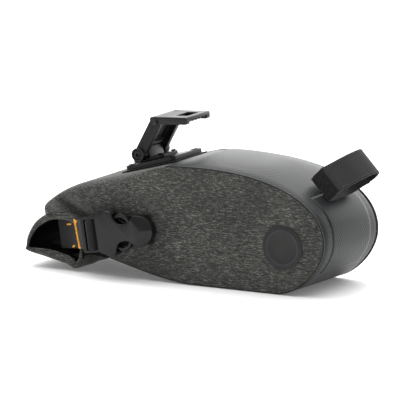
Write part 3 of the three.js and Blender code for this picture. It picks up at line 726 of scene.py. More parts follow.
def panelRows(foot, direction, reach, radius, x, inner=14, arc=6):
    points = []
    width = widthAt(x)
    for k in range(inner + 1):
        away = (reach - radius) * (k / inner)
        depth = reach - away
        dip = sleeve["edgeDip"] * max(1 - (depth - radius) / sleeve["dipWidth"], 0) ** 2
        points.append((foot + direction * away, width - dip))
    flat = points[-1][1]
    for k in range(1, arc + 1):
        angle = math.pi / 2 * k / arc
        place = foot + direction * (reach - radius * (1 - math.sin(angle)))
        points.append((place, flat - radius * (1 - math.cos(angle))))
    return points


def buildSleeve():
    start = np.array([mouthX, (bagCut["mouthTopZ"] + bagCut["mouthBottomZ"]) / 2])
    end = np.array(sleeve["spineEnd"])
    run = (bagCut["deckRearX"] - mouthX) / (end[0] - mouthX)
    shares = list(np.linspace(0, run, 22)) + list(np.linspace(run, 1, 40))[1:]
    columns = []
    for share in shares:
        foot = start + (end - start) * share
        columns.append((foot, np.array([0.0, 1.0]), foot[0] <= bagCut["deckRearX"] + 0.01))
    for k in range(1, 44):
        angle = math.pi / 2 - math.pi * k / 44
        columns.append((end, np.array([math.cos(angle), math.sin(angle)]), False))
    for share in reversed(shares):
        foot = start + (end - start) * share
        columns.append((foot, np.array([0.0, -1.0]), False))
    points, faces = [], []
    sections = []
    for foot, direction, hasDeck in columns:
        reach = rayToOutline(foot + direction * 1e-4, direction)
        if reach is None:
            reach = abs((bagCut["mouthTopZ"] - bagCut["mouthBottomZ"]) / 2)
        top = foot + direction * reach
        radius = cornerRadius(top[0]) if direction[1] > 0.99 else sleeve["seamRadius"]
        sections.append((panelRows(foot, direction, reach, radius, top[0]), hasDeck))
    rows = len(sections[0][0])
    for sign in (-1, 1):
        first = len(points)
        for section, _ in sections:
            points += [(p[0], sign * y, p[1]) for p, y in section]
        faces += gridFaces(len(sections), rows, first=first)
    deckSteps = 16
    deck = [section for section, hasDeck in sections if hasDeck]
    first = len(points)
    for section in deck:
        place, y = section[-1]
        points += [(place[0], -y + 2 * y * k / deckSteps, place[1]) for k in range(deckSteps + 1)]
    faces += gridFaces(len(deck), deckSteps + 1, first=first)
    # the collar carries the same section on to the roll
    topSection, bottomSection = sections[0][0], sections[-1][0]
    nearRing = [(p[1], -y) for p, y in reversed(bottomSection)] + [(p[1], -y) for p, y in topSection[1:]]
    edgeY = topSection[-1][1]
    middleRing = [(topSection[-1][0][1], -edgeY + 2 * edgeY * k / deckSteps) for k in range(1, deckSteps)]
    ring = nearRing + middleRing + [(z, -y) for z, y in reversed(nearRing)]
    stations = 34
    first = len(points)
    for k in range(stations + 1):
        points += [collarPoint(z, y, k / stations) for z, y in ring]
    pick = [0] * len(faces)
    faces += gridFaces(stations + 1, len(ring), first=first)
    # collar faces below this height take the black lining as painted shade, where the heather side lies in
    # shadow between roll and panel
    low = bagCut["mouthBottomZ"] + sleeve["paintedShadeTop"]
    for i in range(stations):
        for (z, _), (after, _) in zip(ring[:-1], ring[1:]):
            pick.append(1 if i > 1 and (z < low or after < low) else 0)
    obj = makeMesh("clothSleeve", points, faces, [heather, liningAndPaintedShade], pick=pick, sharp=70)
    faceOutwards(obj, (-60, 0, 38))
    return obj


def collarPoint(z, y, q):
    top, bottom = bagCut["mouthTopZ"], bagCut["mouthBottomZ"]
    g = min(max((top - z) / (top - bottom), 0), 1)
    rim = rollRim(g)
    startPoint = np.array([mouthX, z])
    first = startPoint + (np.array(sleeve["hood"][0]) - np.array([mouthX, top])) * (1 - 0.75 * g)
    lastPull = np.array(sleeve["hood"][1]) - np.array(sleeve["tip"])
    second = rim + lastPull * (1 - ease(g, 0.0, 0.45)) + np.array([2.0, 7.0]) * ease(g, 0.1, 0.5)
    x, height = bezier([startPoint, first, second, rim], q)
    width = y / widthAt(mouthX) * widthAt(x)
    side = 1 if y > 0 else -1
    share = abs(y) / widthAt(mouthX)
    width *= 1 - 0.03 * ease(q, 0.0, 0.5) * max(1 - g / 0.35, 0) ** 2
    a, b = np.array(sleeve["creaseTop"]), np.array(sleeve["creaseBottom"])
    along = (b - a) / np.linalg.norm(b - a)
    offset = np.array([x, height]) - a
    down = float(offset @ along) / np.linalg.norm(b - a)
    away = float(offset @ np.array([-along[1], along[0]]))
    spread = sleeve["creaseFade"] if away > 0 else sleeve["creaseSpread"]
    depth = sleeve["creaseDepth"] * ease(down, -0.25, 0.6) * math.exp(-(away / spread) ** 2)
    depth *= ease(q, 0.0, 0.35)
    swell = sleeve["bandSwell"] * math.exp(-((away + 7.5) / 4.2) ** 2)
    swell = swell * ease(down, -0.3, 0.2) * ease(q, 0.3, 0.7)
    onSide = ease(share, 0.7, 0.97)
    width -= side * (depth - swell) * onSide
    sag = 1.6 * math.exp(-((q - 0.62) / 0.16) ** 2) * (1 - share ** 2) * (1 - ease(g, 0, 0.3))
    return (x, width, height - sag)


rollCut = {
    "outline": [
        (-149.8, 12.5), (-151.8, 4.2), (-157.0, 1.5), (-164.0, 4.2), (-177.5, 7.2), (-193.6, 10.4),
        (-194.3, 14.4), (-192.6, 21.5), (-186.2, 31.2), (-174.0, 38.2), (-158.0, 37.2), (-150.2, 28.0),
    ],
    "wall": [3.0, 4.4, 6.6, 6.8, 6.2, 3.0, 2.6, 3.2, 4.4, 5.2, 4.6, 3.4],
    "rim": 2.2,
    "shoulderAt": 78,
    "bottomAt": 124,
    "shoulderSkip": 0.10,
}


def closedPath(values, steps):
    count = len(values)
    result = []
    for i in range(count):
        a, b, c, d = [np.array(values[(i + k) % count], float) for k in (-1, 0, 1, 2)]
        for k in range(steps):
            t = k / steps
            result.append(between(a, b, c, d, t))
    return result


rollPath = closedPath(rollCut["outline"], 10)
rollWall = [float(w[0]) for w in closedPath([[w] for w in rollCut["wall"]], 10)]


# the roll's outside from its front shoulder (0) over its top to the bottom behind (1)
def rollRim(g):
    count = len(rollPath)
    start, skip = rollCut["shoulderAt"], rollCut["shoulderSkip"]
    run = rollCut["bottomAt"] - start
    place = start + run * (skip + (1 - skip) * g) if g > 0 else start
    i = int(math.floor(place))
    t = place - i
    return rollPath[i % count] * (1 - t) + rollPath[(i + 1) % count] * t


def buildRoll():
    low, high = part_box("rolled_closure")
    half = (high.y - low.y) / 2 / mm
    count = len(rollPath)
    centre = np.mean(rollPath, axis=0)
    points, pick = [], []
    rim = rollCut["rim"]
    bodySteps = 22
    section = []
    for k in range(bodySteps + 1):
        section.append((-half + rim + 2 * (half - rim) * k / bodySteps, 0.0))
    for k in range(1, 6):
        angle = math.pi * k / 6
        section.append((half - rim + rim * math.sin(angle), (1 - math.cos(angle)) / 2))
    for k in range(bodySteps + 1):
        section.append((half - rim - 2 * (half - rim) * k / bodySteps, 1.0))
    for k in range(1, 6):
        angle = math.pi * k / 6
        section.append((-half + rim - rim * math.sin(angle), (1 + math.cos(angle)) / 2))
    for i in range(count):
        before, after = rollPath[i - 1], rollPath[(i + 1) % count]
        along = (after - before) / np.linalg.norm(after - before)
        inward = np.array([-along[1], along[0]])
        if float(inward @ (centre - rollPath[i])) < 0:
            inward = -inward
        for y, depth in section:
            ripple = 0.35 * math.sin(y * 0.16 + i * 0.11) + 0.2 * math.sin(y * 0.37 - i * 0.2)
            place = rollPath[i] + inward * (rollWall[i] * depth + ripple * (1 - depth) * 0.6)
            points.append((place[0], y, place[1]))
    faces = gridFaces(count, len(section), aroundRows=True, aroundColumns=True)
    # the inside of the roll takes the black lining; its near-black tone is partly painted shade in the
    # cavity
    for _ in range(count):
        for j in range(len(section)):
            pick.append(1 if bodySteps + 5 <= j <= 2 * bodySteps + 6 else 0)
    return makeMesh("rollTube", points, faces, [heather, liningAndPaintedShade], pick=pick, sharp=60)


sleevePiece = thicken(buildSleeve(), sleeve["cloth"])
print("sleeve ready")
rollPiece = buildRoll()
print("roll ready")


gusset = {
    "crown": 4.8, "rest": 1.0, "rear": 1.7, "cloth": 1.0, "piping": 0.55, "patchHalf": 26.0,
    "patchLift": 0.07, "patchThickness": 0.08,
}


# how far the gusset stands out in its middle
def crownAt(place, outward):
    crest = ease(place[0], -84, -62) * (1 - ease(place[0], -18, 20))
    back = ease(place[0], -40, 10) * ease(outward[1], 0.0, 0.8)
    amount = gusset["rest"] + (gusset["crown"] - gusset["rest"]) * crest + gusset["rear"] * back
    return amount * ease(outward[1], -0.75, -0.1) * ease(place[0], -86.5, -80)


def gussetPoint(distance, y, lift=0.0):
    place, outward = onOutline(distance)
    half = widthAt(place[0]) - seamY
    share = min(abs(y) / half, 1)
    rise = crownAt(place, outward) * (1 - share ** 2.4)
    tuck = 0.9 * max(share - 0.9, 0) / 0.1
    spot = place + outward * (rise + lift - tuck)
    return (spot[0], y, spot[1])


deckRearAt = distanceOf(bagCut["deckRearX"], bagCut["deckRearZ"])
mouthEndAt = float(lengths[-1])


def buildGusset():
    columns, across = 190, 28
    points, uv = [], []
    for i in range(columns + 1):
        distance = deckRearAt + (mouthEndAt - deckRearAt) * i / columns
        place, _ = onOutline(distance)
        half = widthAt(place[0]) - seamY
        for k in range(across + 1):
            y = half * math.sin(math.pi / 2 * (2 * k / across - 1))
            points.append(gussetPoint(distance, y))
            uv.append((distance, y))
    obj = makeMesh("gussetSkin", points, gridFaces(columns + 1, across + 1), [coated], uv=uv, sharp=70)
    faceOutwards(obj, (-40, 0, 38))
    return thicken(obj, gusset["cloth"])


def buildPiping(name, sign):
    columns, around = 240, 8
    points, uv = [], []
    for i in range(columns + 1):
        distance = deckRearAt + (mouthEndAt - deckRearAt) * i / columns
        place, outward = onOutline(distance)
        y = sign * (widthAt(place[0]) - seamY + 0.8)
        for k in range(around):
            angle = 2 * math.pi * k / around
            lift = gusset["piping"] * math.sin(angle) - 0.45
            spot = place + outward * lift
            points.append((spot[0], y + gusset["piping"] * math.cos(angle), spot[1]))
            uv.append((distance, angle * gusset["piping"]))
    faces = gridFaces(columns + 1, around, aroundColumns=True)
    faces += [list(range(around)), [columns * around + k for k in range(around)]]
    return makeMesh(name, points, faces, [bindingTape], uv=uv)


anchorLow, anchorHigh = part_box("strap_anchor")


def buildPatch():
    rowsAcross, columns = 18, 40
    behind = [d for d in np.arange(deckRearAt, mouthEndAt, 0.5) if onOutline(d)[0][0] > 0]
    top = min(d for d in behind if onOutline(d)[0][1] < anchorHigh.z / mm)
    bottom = max(d for d in behind if onOutline(d)[0][1] > anchorLow.z / mm)
    half = gusset["patchHalf"]
    points, uv = [], []
    for i in range(columns + 1):
        distance = top + (bottom - top) * i / columns
        for k in range(rowsAcross + 1):
            y = -half + 2 * half * k / rowsAcross
            edge = min(i, columns - i, k * 2, (rowsAcross - k) * 2)
            lift = gusset["patchLift"] * (1 if edge >= 1 else 0.2)
            points.append(gussetPoint(distance, y, lift))
            uv.append((distance, y))
    faces = gridFaces(columns + 1, rowsAcross + 1)
    obj = makeMesh("weldedPatch", points, faces, [patchCloth], uv=uv, sharp=70)
    faceOutwards(obj, (-40, 0, 38))
    return thicken(obj, gusset["patchThickness"])


gussetPiece = buildGusset()
pipingPieces = [buildPiping(f"piping_{label}", sign) for label, sign in sides]
patchPiece = buildPatch()
print("gusset, piping and patch ready")


# label disc: plain, with a thin ring
def buildDisc():
    low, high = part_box("label_disc")
    centreX = (low.x + high.x) / 2 / mm - originX
    centreZ = (low.z + high.z) / 2 / mm
    radius = (high.x - low.x) / 2 / mm
    back, face = high.y / mm, low.y / mm
    section = [
        (radius - 0.2, back), (radius, back - 0.15), (radius, face + 0.25), (radius - 0.3, face),
        (radius - 3.0, face), (radius - 3.15, face - 0.12), (radius - 3.6, face - 0.12),
        (radius - 3.75, face), (radius * 0.4, face),
    ]
    turns = 72
    points, pick = [], []
    for i in range(turns):
        angle = 2 * math.pi * i / turns
        points += [(centreX + r * math.cos(angle), y, centreZ + r * math.sin(angle)) for r, y in section]
    faces = gridFaces(turns, len(section), aroundRows=True)
    for _ in range(turns):
        pick += [1 if 4 <= j <= 6 else 0 for j in range(len(section) - 1)]
    points += [(centreX, face, centreZ), (centreX, back, centreZ)]
    hub, rear = len(points) - 2, len(points) - 1
    for i in range(turns):
        after = (i + 1) % turns
        faces.append([i * len(section) + len(section) - 1, after * len(section) + len(section) - 1, hub])
        faces.append([i * len(section), after * len(section), rear])
        pick += [0, 0]
    return makeMesh("labelDisc", points, faces, [disc, discLine], pick=pick)


discPiece = buildDisc()


# buckles: the moulded sockets are cut from a merged copy of the CAD mesh
buckleCut = {"x": -129.6, "z": 29.6, "tilt": 9.0, "noseStart": 30.5, "noseFall": 24.0}
tiltAngle = math.radians(buckleCut["tilt"])


# u runs rearward from the socket's mouth, v up
def onBuckle(u, v, y):
    x = buckleCut["x"] + u * math.cos(tiltAngle) - v * math.sin(tiltAngle)
    z = buckleCut["z"] + u * math.sin(tiltAngle) + v * math.cos(tiltAngle)
    return (x, y, z)


def mergedCopy(node, name, material, cuts=(), bevel=0.45, segments=3, angle=28):
    data = nodes[node].data.copy()
    data.name = name
    obj = link(bpy.data.objects.new(name, data))
    mesh = bmesh.new()
    mesh.from_mesh(data)
    bmesh.ops.remove_doubles(mesh, verts=mesh.verts, dist=0.01 * mm)
    for place, normal in cuts:
        everything = mesh.verts[:] + mesh.edges[:] + mesh.faces[:]
        cut = bmesh.ops.bisect_plane(
            mesh, geom=everything, dist=1e-7, plane_co=place, plane_no=normal, clear_outer=True,
        )
        edges = [e for e in cut["geom_cut"] if isinstance(e, bmesh.types.BMEdge)]
        if edges:
            bmesh.ops.holes_fill(mesh, edges=edges, sides=0)
    bmesh.ops.dissolve_limit(mesh, angle_limit=math.radians(1.5), verts=mesh.verts, edges=mesh.edges)
    bmesh.ops.recalc_face_normals(mesh, faces=mesh.faces)
    mesh.to_mesh(data)
    mesh.free()
    data.materials.clear()
    data.materials.append(material)
    if bevel > 0:
        edge = obj.modifiers.new("edges", "BEVEL")
        edge.width = bevel * mm
        edge.segments = segments
        edge.limit_method = "ANGLE"
        edge.angle_limit = math.radians(angle)
        edge.use_clamp_overlap = True
        edge.miter_outer = "MITER_ARC"
        settle(obj)
    mesh = bmesh.new()
    mesh.from_mesh(obj.data)
    markSharp(mesh, 38)
    mesh.to_mesh(obj.data)
    mesh.free()
    return obj


def noseCuts(sign, face):
    cuts = []
    fall = math.radians(buckleCut["noseFall"])
    for tip in (1, -1):
        swing = math.radians(38) * tip
        sideways = Vector((math.cos(swing), 0, math.sin(swing)))
        turned = Matrix.Rotation(-tiltAngle, 3, "Y") @ sideways
        normal = (turned * math.sin(fall) + Vector((0, sign, 0)) * math.cos(fall)).normalized()
        x, y, z = onBuckle(buckleCut["noseStart"], tip * 3.0, face)
        cuts.append((Vector(((x + originX) * mm, y * mm, z * mm)), normal))
    return cuts


socketPieces, tailPieces, threadPieces = [], [], []
for label, sign in sides:
    low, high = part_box(f"buckle_socket_{label}")
    face = (low.y if sign < 0 else high.y) / mm
    socketPieces.append(
        mergedCopy(f"buckle_socket_{label}", f"socket_{label}", plastic, noseCuts(sign, face), bevel=0.7)
    )
print("sockets ready")

tail = {"width": 20.0, "thickness": 1.6}


def buildTail(label, sign):
    low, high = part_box(f"buckle_plug_{label}")
    middle = abs(low.y + high.y) / 2 / mm
    inner = widthAt(mouthX)
    places = [
        (-42, inner - 9.0), (-36, inner - 7.0), (-30, inner - 4.5), (-25, inner - 1.7), (-21, inner + 1.2),
        (-17, inner + 4.9), (-13.6, middle + 0.1),
    ]
    flat = smoothPath(places, 8)
    path = [onBuckle(p[0], 0, sign * p[1]) for p in flat]
    across = onBuckle(0, 1, 0)
    base = onBuckle(0, 0, 0)
    direction = [across[k] - base[k] for k in range(3)]
    strip = makeStrip(f"webTail_{label}", path, direction, tail["width"], tail["thickness"], [tape])
    loopLow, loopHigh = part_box(f"web_loop_{label}")
    reach = (loopHigh.y - loopLow.y) / 2 / mm - tail["thickness"] / 2
    around = []
    centreU = -7.15
    for k in range(25):
        angle = 2 * math.pi * k / 24
        squareU = math.copysign(abs(math.cos(angle)) ** 0.55, math.cos(angle)) * 2.35
        squareY = math.copysign(abs(math.sin(angle)) ** 0.55, math.sin(angle)) * reach
        around.append(onBuckle(centreU + squareU, 0, sign * middle + squareY))
    slim = (tail["width"] - 0.4, tail["thickness"] - 0.2)
    wrap = makeStrip(f"webWrap_{label}", around, direction, *slim, [tape])
    return strip, wrap, flat


def tailSurface(flat, sign, travelled, v, lift):
    total = 0.0
    for a, b in zip(flat[:-1], flat[1:]):
        step = float(np.linalg.norm(b - a))
        if total + step >= travelled:
            t = (travelled - total) / step
            here = a + (b - a) * t
            along = (b - a) / step
            outward = np.array([-along[1], along[0]])
            if outward[1] < 0:
                outward = -outward
            spot = here + outward * lift
            return onBuckle(spot[0], v, sign * spot[1])
        total += step
    return onBuckle(flat[-1][0], v, sign * flat[-1][1])


barTack = {"at": 21.0, "swing": 0.95, "turns": 26, "thread": 0.62, "lean": 2.6}
# loose thread ends: start and run along the tape, start and drift across it, and the steps taken
looseEnds = [
    (barTack["at"] + 0.4, 1.0, 8.2, 0.5, (0.0, 0.8, 1.8)),
    (barTack["at"] + 1.0, -0.4, -7.6, -1.0, (0.0, 1.0, 2.0)),
    (barTack["at"] + 1.0, 1.0, -7.6, -1.0, (0.0, 1.0, 1.9)),
    (9.5, 1.0, 6.2, 0.1, (0.0, 1.5, 3.0, 4.6)),
    (12.5, 1.0, -9.0, 0.45, (0.0, 1.3, 2.6)),
]
for label, sign in sides:
    strip, wrap, flat = buildTail(label, sign)
    tailPieces.append((strip, wrap))
    lift = tail["thickness"] / 2 + 0.15
    paths = []
    zigzag = []
    for k in range(barTack["turns"] + 1):
        v = 9.6 - 19.0 * k / barTack["turns"]
        sway = barTack["swing"] * (1 if k % 2 else -1)
        lean = barTack["lean"] * (k / barTack["turns"] - 0.5)
        zigzag.append(tailSurface(flat, sign, barTack["at"] + lean + sway, v, lift))
    paths.append(zigzag)
    for along, run, across, drift, steps in looseEnds:
        paths.append([tailSurface(flat, sign, along + run * s, across + drift * s, lift) for s in steps])
    threadPieces.append(growAlong(f"barTack_{label}", threadTree, paths, {
        "Thread": barTack["thread"] * mm, "Step": 0.5 * mm, "Wander": 0.12 * mm, "Seed": 7,
        "Finish": orangeThread,
    }))
print("tails and bar tacks ready")


strapCut = {
    "slope": 46.0, "width": 20.0, "thickness": 1.8, "middle": -13.8,
    "nearY": -13.6, "farY": 26.0, "nearHeight": 13.2, "farHeight": 18.0, "floor": 3.4,
}
slopeAngle = math.radians(strapCut["slope"])


def strapFoot():
    outward = np.array([math.sin(slopeAngle), math.cos(slopeAngle)])
    return outline[int(np.argmax(outline @ outward))]


footX, footZ = strapFoot()


# t runs down the slope, height away from it
def onStrap(t, y, height):
    x = footX + t * math.cos(slopeAngle) + height * math.sin(slopeAngle)
    z = footZ - t * math.sin(slopeAngle) + height * math.cos(slopeAngle)
    return (x, y, z)


def strapStrip(name, places, width, thickness, steps=8):
    flat = smoothPath(places, steps)
    path = [onStrap(strapCut["middle"], p[0], p[1]) for p in flat]
    base, tip = onStrap(0, 0, 0), onStrap(1, 0, 0)
    across = [tip[k] - base[k] for k in range(3)]
    return makeStrip(name, path, across, width, thickness, [strapTape]), flat


def strapLayers():
    c = strapCut
    near, far = c["nearY"] + c["thickness"] / 2, c["farY"]
    floor = c["floor"]
    top, high = c["nearHeight"], c["farHeight"]
    base = [
        (near, top - 1.2), (near - 0.15, 8.0), (near - 0.1, 5.0), (near + 0.6, floor + 0.9),
        (near + 2.6, floor),
        (near + 12, floor), (near + 21, floor), (far - 11, floor + 1.0), (far - 6, floor + 3.4),
        (far - 2.5, high - 8.2), (far + 0.8, high - 6.8), (far + 3.4, high - 5.9),
    ]
    basePiece, _ = strapStrip("strapBase", base, c["width"], c["thickness"])
    flap = [
        (c["nearY"] + 0.1, top + 0.2), (c["nearY"] + 1.0, top + 0.9), (near + 9, top + 4.2),
        (near + 19, top + 8.0),
        (far - 10, high + 5.6), (far - 4, high + 6.4), (far, high + 5.8),
        (far + 3.4, high + 3.3), (far + 4.5, high), (far + 3.5, high - 2.9),
        (far + 1.6, high - 4.4),
    ]
    flapPiece, flat = strapStrip("strapTop", flap, c["width"], c["thickness"])
    return basePiece, flapPiece, flat


strapBase, strapTop, flapPath = strapLayers()


# the loop-faced pad sewn to the near end
def buildFuzzPad():
    c = strapCut
    near = c["nearY"] - 0.1
    heights = np.linspace(2.6, c["nearHeight"] + 0.1, 12)
    spreads = np.linspace(-c["width"] / 2 + 0.4, c["width"] / 2 - 0.4, 22)
    points = []
    for layer, depth in ((0, 0.0), (1, 0.9)):
        for i, height in enumerate(heights):
            for j, spread in enumerate(spreads):
                rim = min(i, len(heights) - 1 - i, j, len(spreads) - 1 - j)
                swell = 0.25 + 0.14 * math.sin(i * 2.7 + j * 4.1) + 0.1 * math.sin(i * 5.3 - j * 1.9)
                y = near - (swell if layer == 0 and rim > 0 else -depth)
                points.append(onStrap(c["middle"] + spread, y, height))
    rows, columns = len(heights), len(spreads)
    front = gridFaces(rows, columns)
    back = gridFaces(rows, columns, first=rows * columns)
    skirt = gridSkirt(rows, columns, rows * columns)
    return makeMesh("loopPad", points, front + back + skirt, [fuzz])


fuzzPad = buildFuzzPad()


def flapLine(startAt, spread, lift, finishAt):
    total, line = 0.0, []
    for a, b in zip(flapPath[:-1], flapPath[1:]):
        step = float(np.linalg.norm(b - a))
        if startAt <= total <= finishAt:
            along = (b - a) / step
            spot = a + np.array([-along[1], along[0]]) * lift
            line.append(onStrap(strapCut["middle"] + spread, spot[0], spot[1]))
        total += step
    return line


def buildStrapStitches():
    half = strapCut["width"] / 2
    lift = strapCut["thickness"] / 2 + 0.02
    paths = []
    for place in (2.4, 4.2):
        flat = []
        total = 0.0
        for a, b in zip(flapPath[:-1], flapPath[1:]):
            step = float(np.linalg.norm(b - a))
            if total <= place < total + step:
                along = (b - a) / step
                flat = a + (b - a) * (place - total) / step + np.array([-along[1], along[0]]) * lift
            total += step
        spreads = np.linspace(-half + 1.2, half - 1.2, 9)
        paths.append([onStrap(strapCut["middle"] + s, flat[0], flat[1]) for s in spreads])
    for spread in (-half + 1.3, half - 1.3):
        paths.append(flapLine(1.5, spread, lift, 45.0))
    return growAlong("strapStitches", stitchTree, paths, {
        "Spacing": 2.3 * mm, "Length": 1.5 * mm, "Thread": 0.24 * mm, "Wander": 0.05 * mm, "Seed": 11,
        "Finish": blackThread,
    })


strapStitches = buildStrapStitches()
print("strap ready")


# stitches beside the seam on both panels
def buildSeamStitches(name, sign):
    paths = []
    path = []
    for distance in np.arange(deckRearAt + 2, mouthEndAt - 3, 1.5):
        place, outward = onOutline(float(distance))
        spot = place - outward * 3.2
        path.append((spot[0], sign * (widthAt(place[0]) - 0.62), spot[1]))
    paths.append(path)
    return growAlong(name, stitchTree, paths, {
        "Spacing": 3.0 * mm, "Length": 2.1 * mm, "Thread": 0.2 * mm, "Wander": 0.05 * mm, "Seed": 13,
        "Finish": blackThread,
    })


seamStitches = [buildSeamStitches(f"seamStitch_{label}", sign) for label, sign in sides]


def paint(node, material):
    data = nodes[node].data
    data.materials.clear()
    data.materials.append(material)


# the latch is a dished plate between the clip's cheeks
latchCut = {
    "length": 20.4, "thickness": 2.4, "rim": 2.3, "corner": 2.6, "dish": 1.5, "start": 1.4, "barrel": 2.2,
}


def buildLatch():
    pinLow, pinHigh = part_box("corner_pin")
    boltLow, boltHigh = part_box("pivot_bolt")
    latchLow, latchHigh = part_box("latch_lever")
    top = (pinLow + pinHigh) / 2 / mm
    foot = (boltLow + boltHigh) / 2 / mm
    half = (latchHigh.y - latchLow.y) / 2 / mm - 0.1
    down = Vector((foot.x - top.x, 0, foot.z - top.z)).normalized()
    out = Vector((-down.z, 0, down.x))
    if out.x < 0:
        out = -out
    c = latchCut
    rows, columns = 40, 44
    points = []
    for i in range(rows + 1):
        along = c["start"] + (c["length"] - c["start"]) * i / rows
        for j in range(columns + 1):
            y = -half + 2 * half * j / columns
            inX = min(along - c["start"], c["length"] - along) - c["rim"]
            inY = half - abs(y) - c["rim"]
            corner = c["corner"]
            if inX < corner and inY < corner:
                inside = corner - math.hypot(corner - inX, corner - inY)
            else:
                inside = min(inX, inY)
            edge = min(along - c["start"], c["length"] - along, half - abs(y))
            lift = c["thickness"] / 2 - c["dish"] * ease(inside, -0.2, 0.7) - 0.5 * (1 - ease(edge, 0, 0.6))
            place = Vector((top.x, 0, top.z)) + down * along + out * lift
            points.append((place.x - originX, y, place.z))
    count = len(points)
    for k in range(count):
        i, j = divmod(k, columns + 1)
        along = c["start"] + (c["length"] - c["start"]) * i / rows
        place = Vector((top.x, 0, top.z)) + down * along - out * c["thickness"] / 2
        points.append((place.x - originX, points[k][1], place.z))
    faces = gridFaces(rows + 1, columns + 1) + gridFaces(rows + 1, columns + 1, first=count)
    faces += gridSkirt(rows + 1, columns + 1, count)
    turns, first = 24, len(points)
    for i in range(turns):
        angle = 2 * math.pi * i / turns
        x = top.x + c["barrel"] * math.cos(angle) - originX
        z = top.z + c["barrel"] * math.sin(angle)
        points += [(x, -half, z), (x, half, z)]
    faces += gridFaces(turns, 2, aroundRows=True, first=first)
    faces += [[first + 2 * i for i in range(turns)], [first + 2 * i + 1 for i in range(turns)]]
    return makeMesh("latchLever", points, faces, [plasticLid], sharp=50)


hardPieces = {
    "clip_bracket": ("clipBracket", plasticLid, 0.5),
    "mount_base": ("mountBase", plasticLid, 0.7),
    "hinge_carriage": ("hingeCarriage", plasticLid, 0.45),
    "mount_patch": ("mountPatch", bindingTape, 0.25),
}
hardMade = {}
deckLean = math.atan2(bagCut["deckRearZ"] - bagCut["mouthTopZ"], bagCut["deckRearX"] - mouthX)
deckUp = Vector((-math.sin(deckLean), 0, math.cos(deckLean)))
headSink = 1.05


# the heads are shown almost flush with the slab
def sunkHead(node):
    top = max((v.co for v in nodes[node].data.vertices), key=lambda co: co.dot(deckUp))
    return [(top - deckUp * headSink * mm, deckUp)]


for node, (name, finish, width) in hardPieces.items():
    hardMade[node] = mergedCopy(node, name, finish, bevel=width)
hardMade["latch_lever"] = buildLatch()
for label, _ in sides:
    plug = f"buckle_plug_{label}"
    hardMade[plug] = mergedCopy(plug, f"plugFrame_{label}", plastic, bevel=0.55)
    for level in ("upper", "lower"):
        node = f"plug_arm_{label}_{level}"
        hardMade[node] = mergedCopy(node, f"plugArm_{label}_{level}", plastic, bevel=0.4)

for node in ("pivot_bolt", "pivot_nut", "corner_pin"):
    hardMade[node] = mergedCopy(node, node.replace("_", "") + "Metal", steel, bevel=0.3, angle=35)
for place in ("front", "rear"):
    for label, _ in sides:
        node = f"base_screw_{place}_{label}"
        screw = f"screw_{place}_{label}"
        hardMade[node] = mergedCopy(node, screw, steel, sunkHead(node), bevel=0.15, angle=35)
for label, _ in sides:
    rivet, bush = f"carriage_rivet_{label}", f"pivot_bush_{label}"
    hardMade[rivet] = mergedCopy(rivet, f"rivet_{label}", steel, bevel=0.25, angle=35)
    hardMade[bush] = mergedCopy(bush, f"bush_{label}", plastic, bevel=0.3, angle=35)
    paint(f"socket_tab_{label}", bindingTape)
    paint(f"side_stiffener_{label}", foam)
for node in ("floor_stiffener", "roll_stiffener"):
    paint(node, foam)
paint("backing_plate", plastic)
paint("latch_spring", steel)
print("hard parts ready")


def bodyOf(node):
    return nodes[node]["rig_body"]


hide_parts("side_panel_near", "side_panel_far", "deck_panel", "closure_collar")
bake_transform(sleevePiece)
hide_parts("rolled_closure")
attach(rollPiece, "closure")
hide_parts("gusset_band")
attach(gussetPiece, "bag")
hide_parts("strap_anchor")
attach(patchPiece, "bag")
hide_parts("label_disc")
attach(discPiece, "bag")
for (label, _), piping, socket, tails, thread, stitches in zip(
    sides, pipingPieces, socketPieces, tailPieces, threadPieces, seamStitches,
):
    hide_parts(f"seam_binding_{label}")
    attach(piping, "bag")
    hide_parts(f"buckle_socket_{label}")
    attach(socket, "bag")
    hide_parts(f"web_tail_{label}")
    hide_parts(f"web_loop_{label}")
    for piece in (*tails, thread):
        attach(piece, "closure")
    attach(stitches, "bag")
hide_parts("strap_base")
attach(strapBase, bodyOf("strap_base"))
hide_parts("strap_flap")
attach(strapTop, bodyOf("strap_flap"))
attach(fuzzPad, bodyOf("strap_base"))
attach(strapStitches, bodyOf("strap_flap"))
for node, piece in hardMade.items():
    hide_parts(node)
    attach(piece, bodyOf(node))


def buildFloor():
    data = bpy.data.meshes.new("floor")
    size = 3.0
    corners = [(-size, -size, 0), (size, -size, 0), (size, size, 0), (-size, size, 0)]
    data.from_pydata(corners, [], [[0, 1, 2, 3]])
    material, tree, shader = startMaterial("paleFloor")
    cloud = noise(tree, coordinates(tree, (3, 3, 3)), detail=1.0)
    shade = ramp(tree, cloud, [(0.3, (0.86, 0.86, 0.86)), (0.7, (0.88, 0.88, 0.88))])
    finishWith(tree, shader, shade, span(tree, cloud, 0.85, 0.95), level=0.1)
    shader.inputs["Emission Color"].default_value = (1, 1, 1, 1)
    shader.inputs["Emission Strength"].default_value = 0.11
    data.materials.append(material)
    floor = link(bpy.data.objects.new("floor", data))
    floor.location.z = -0.0004


def addLight(name, place, target, size, power, colour=(1, 1, 1)):
    data = bpy.data.lights.new(name, "AREA")
    data.shape = "RECTANGLE"
    data.size, data.size_y = size
    data.energy = power
    data.color = colour
    light = link(bpy.data.objects.new(name, data))
    light.location = place
    light.rotation_mode = "QUATERNION"
    light.rotation_quaternion = (Vector(target) - Vector(place)).to_track_quat("-Z", "Y")


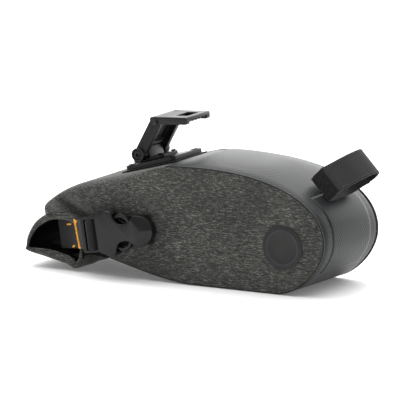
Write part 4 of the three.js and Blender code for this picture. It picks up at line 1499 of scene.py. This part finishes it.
buildFloor()
studio = {"fill": 0.40, "sun": 3.2, "sunSpread": 95.0, "back": 46.0, "top": 4.0}


# white behind the object, a dimmer fill on it
def addWorld():
    world = bpy.data.worlds.new("studio")
    world.use_nodes = True
    tree = world.node_tree
    seen = tree.nodes["Background"]
    seen.inputs["Color"].default_value = (1, 1, 1, 1)
    seen.inputs["Strength"].default_value = 1.0
    fill = addNode(tree, "ShaderNodeBackground", {"Color": (1, 1, 1, 1), "Strength": studio["fill"]})
    path = addNode(tree, "ShaderNodeLightPath")
    mix = addNode(tree, "ShaderNodeMixShader", {
        0: path.outputs["Is Camera Ray"], 1: fill.outputs[0], 2: seen.outputs[0],
    })
    tree.links.new(mix.outputs[0], tree.nodes["World Output"].inputs["Surface"])
    bpy.context.scene.world = world


def addSun():
    data = bpy.data.lights.new("topSun", "SUN")
    data.energy = studio["sun"]
    data.angle = math.radians(studio["sunSpread"])
    sun = link(bpy.data.objects.new("topSun", data))
    sun.rotation_euler = (math.radians(-10), math.radians(-8), 0)


addWorld()
addSun()
addLight("backBox", (-0.3, 1.9, 0.75), (0, 0, 0.05), (3.6, 1.5), studio["back"])
addLight("topBox", (-0.15, 0.2, 0.8), (0, 0, 0.05), (0.8, 0.5), studio["top"])

view = {"azimuth": 30.0, "elevation": 10.7, "distance": 12.0, "lens": 1558.0, "aim": (0.0033, 0.0, 0.0452)}


def addCamera():
    data = bpy.data.cameras.new("camera")
    data.lens = view["lens"]
    data.sensor_width = 36
    data.clip_start, data.clip_end = 0.1, 50
    camera = link(bpy.data.objects.new("camera", data))
    a, e = math.radians(view["azimuth"]), math.radians(view["elevation"])
    back = Vector((math.sin(a) * math.cos(e), -math.cos(a) * math.cos(e), math.sin(e)))
    camera.location = Vector(view["aim"]) + back * view["distance"]
    camera.rotation_mode = "QUATERNION"
    camera.rotation_quaternion = (-back).to_track_quat("-Z", "Y")
    bpy.context.scene.camera = camera


addCamera()
bpy.context.scene.view_settings.view_transform = "Standard"
print("floor, light and camera ready")
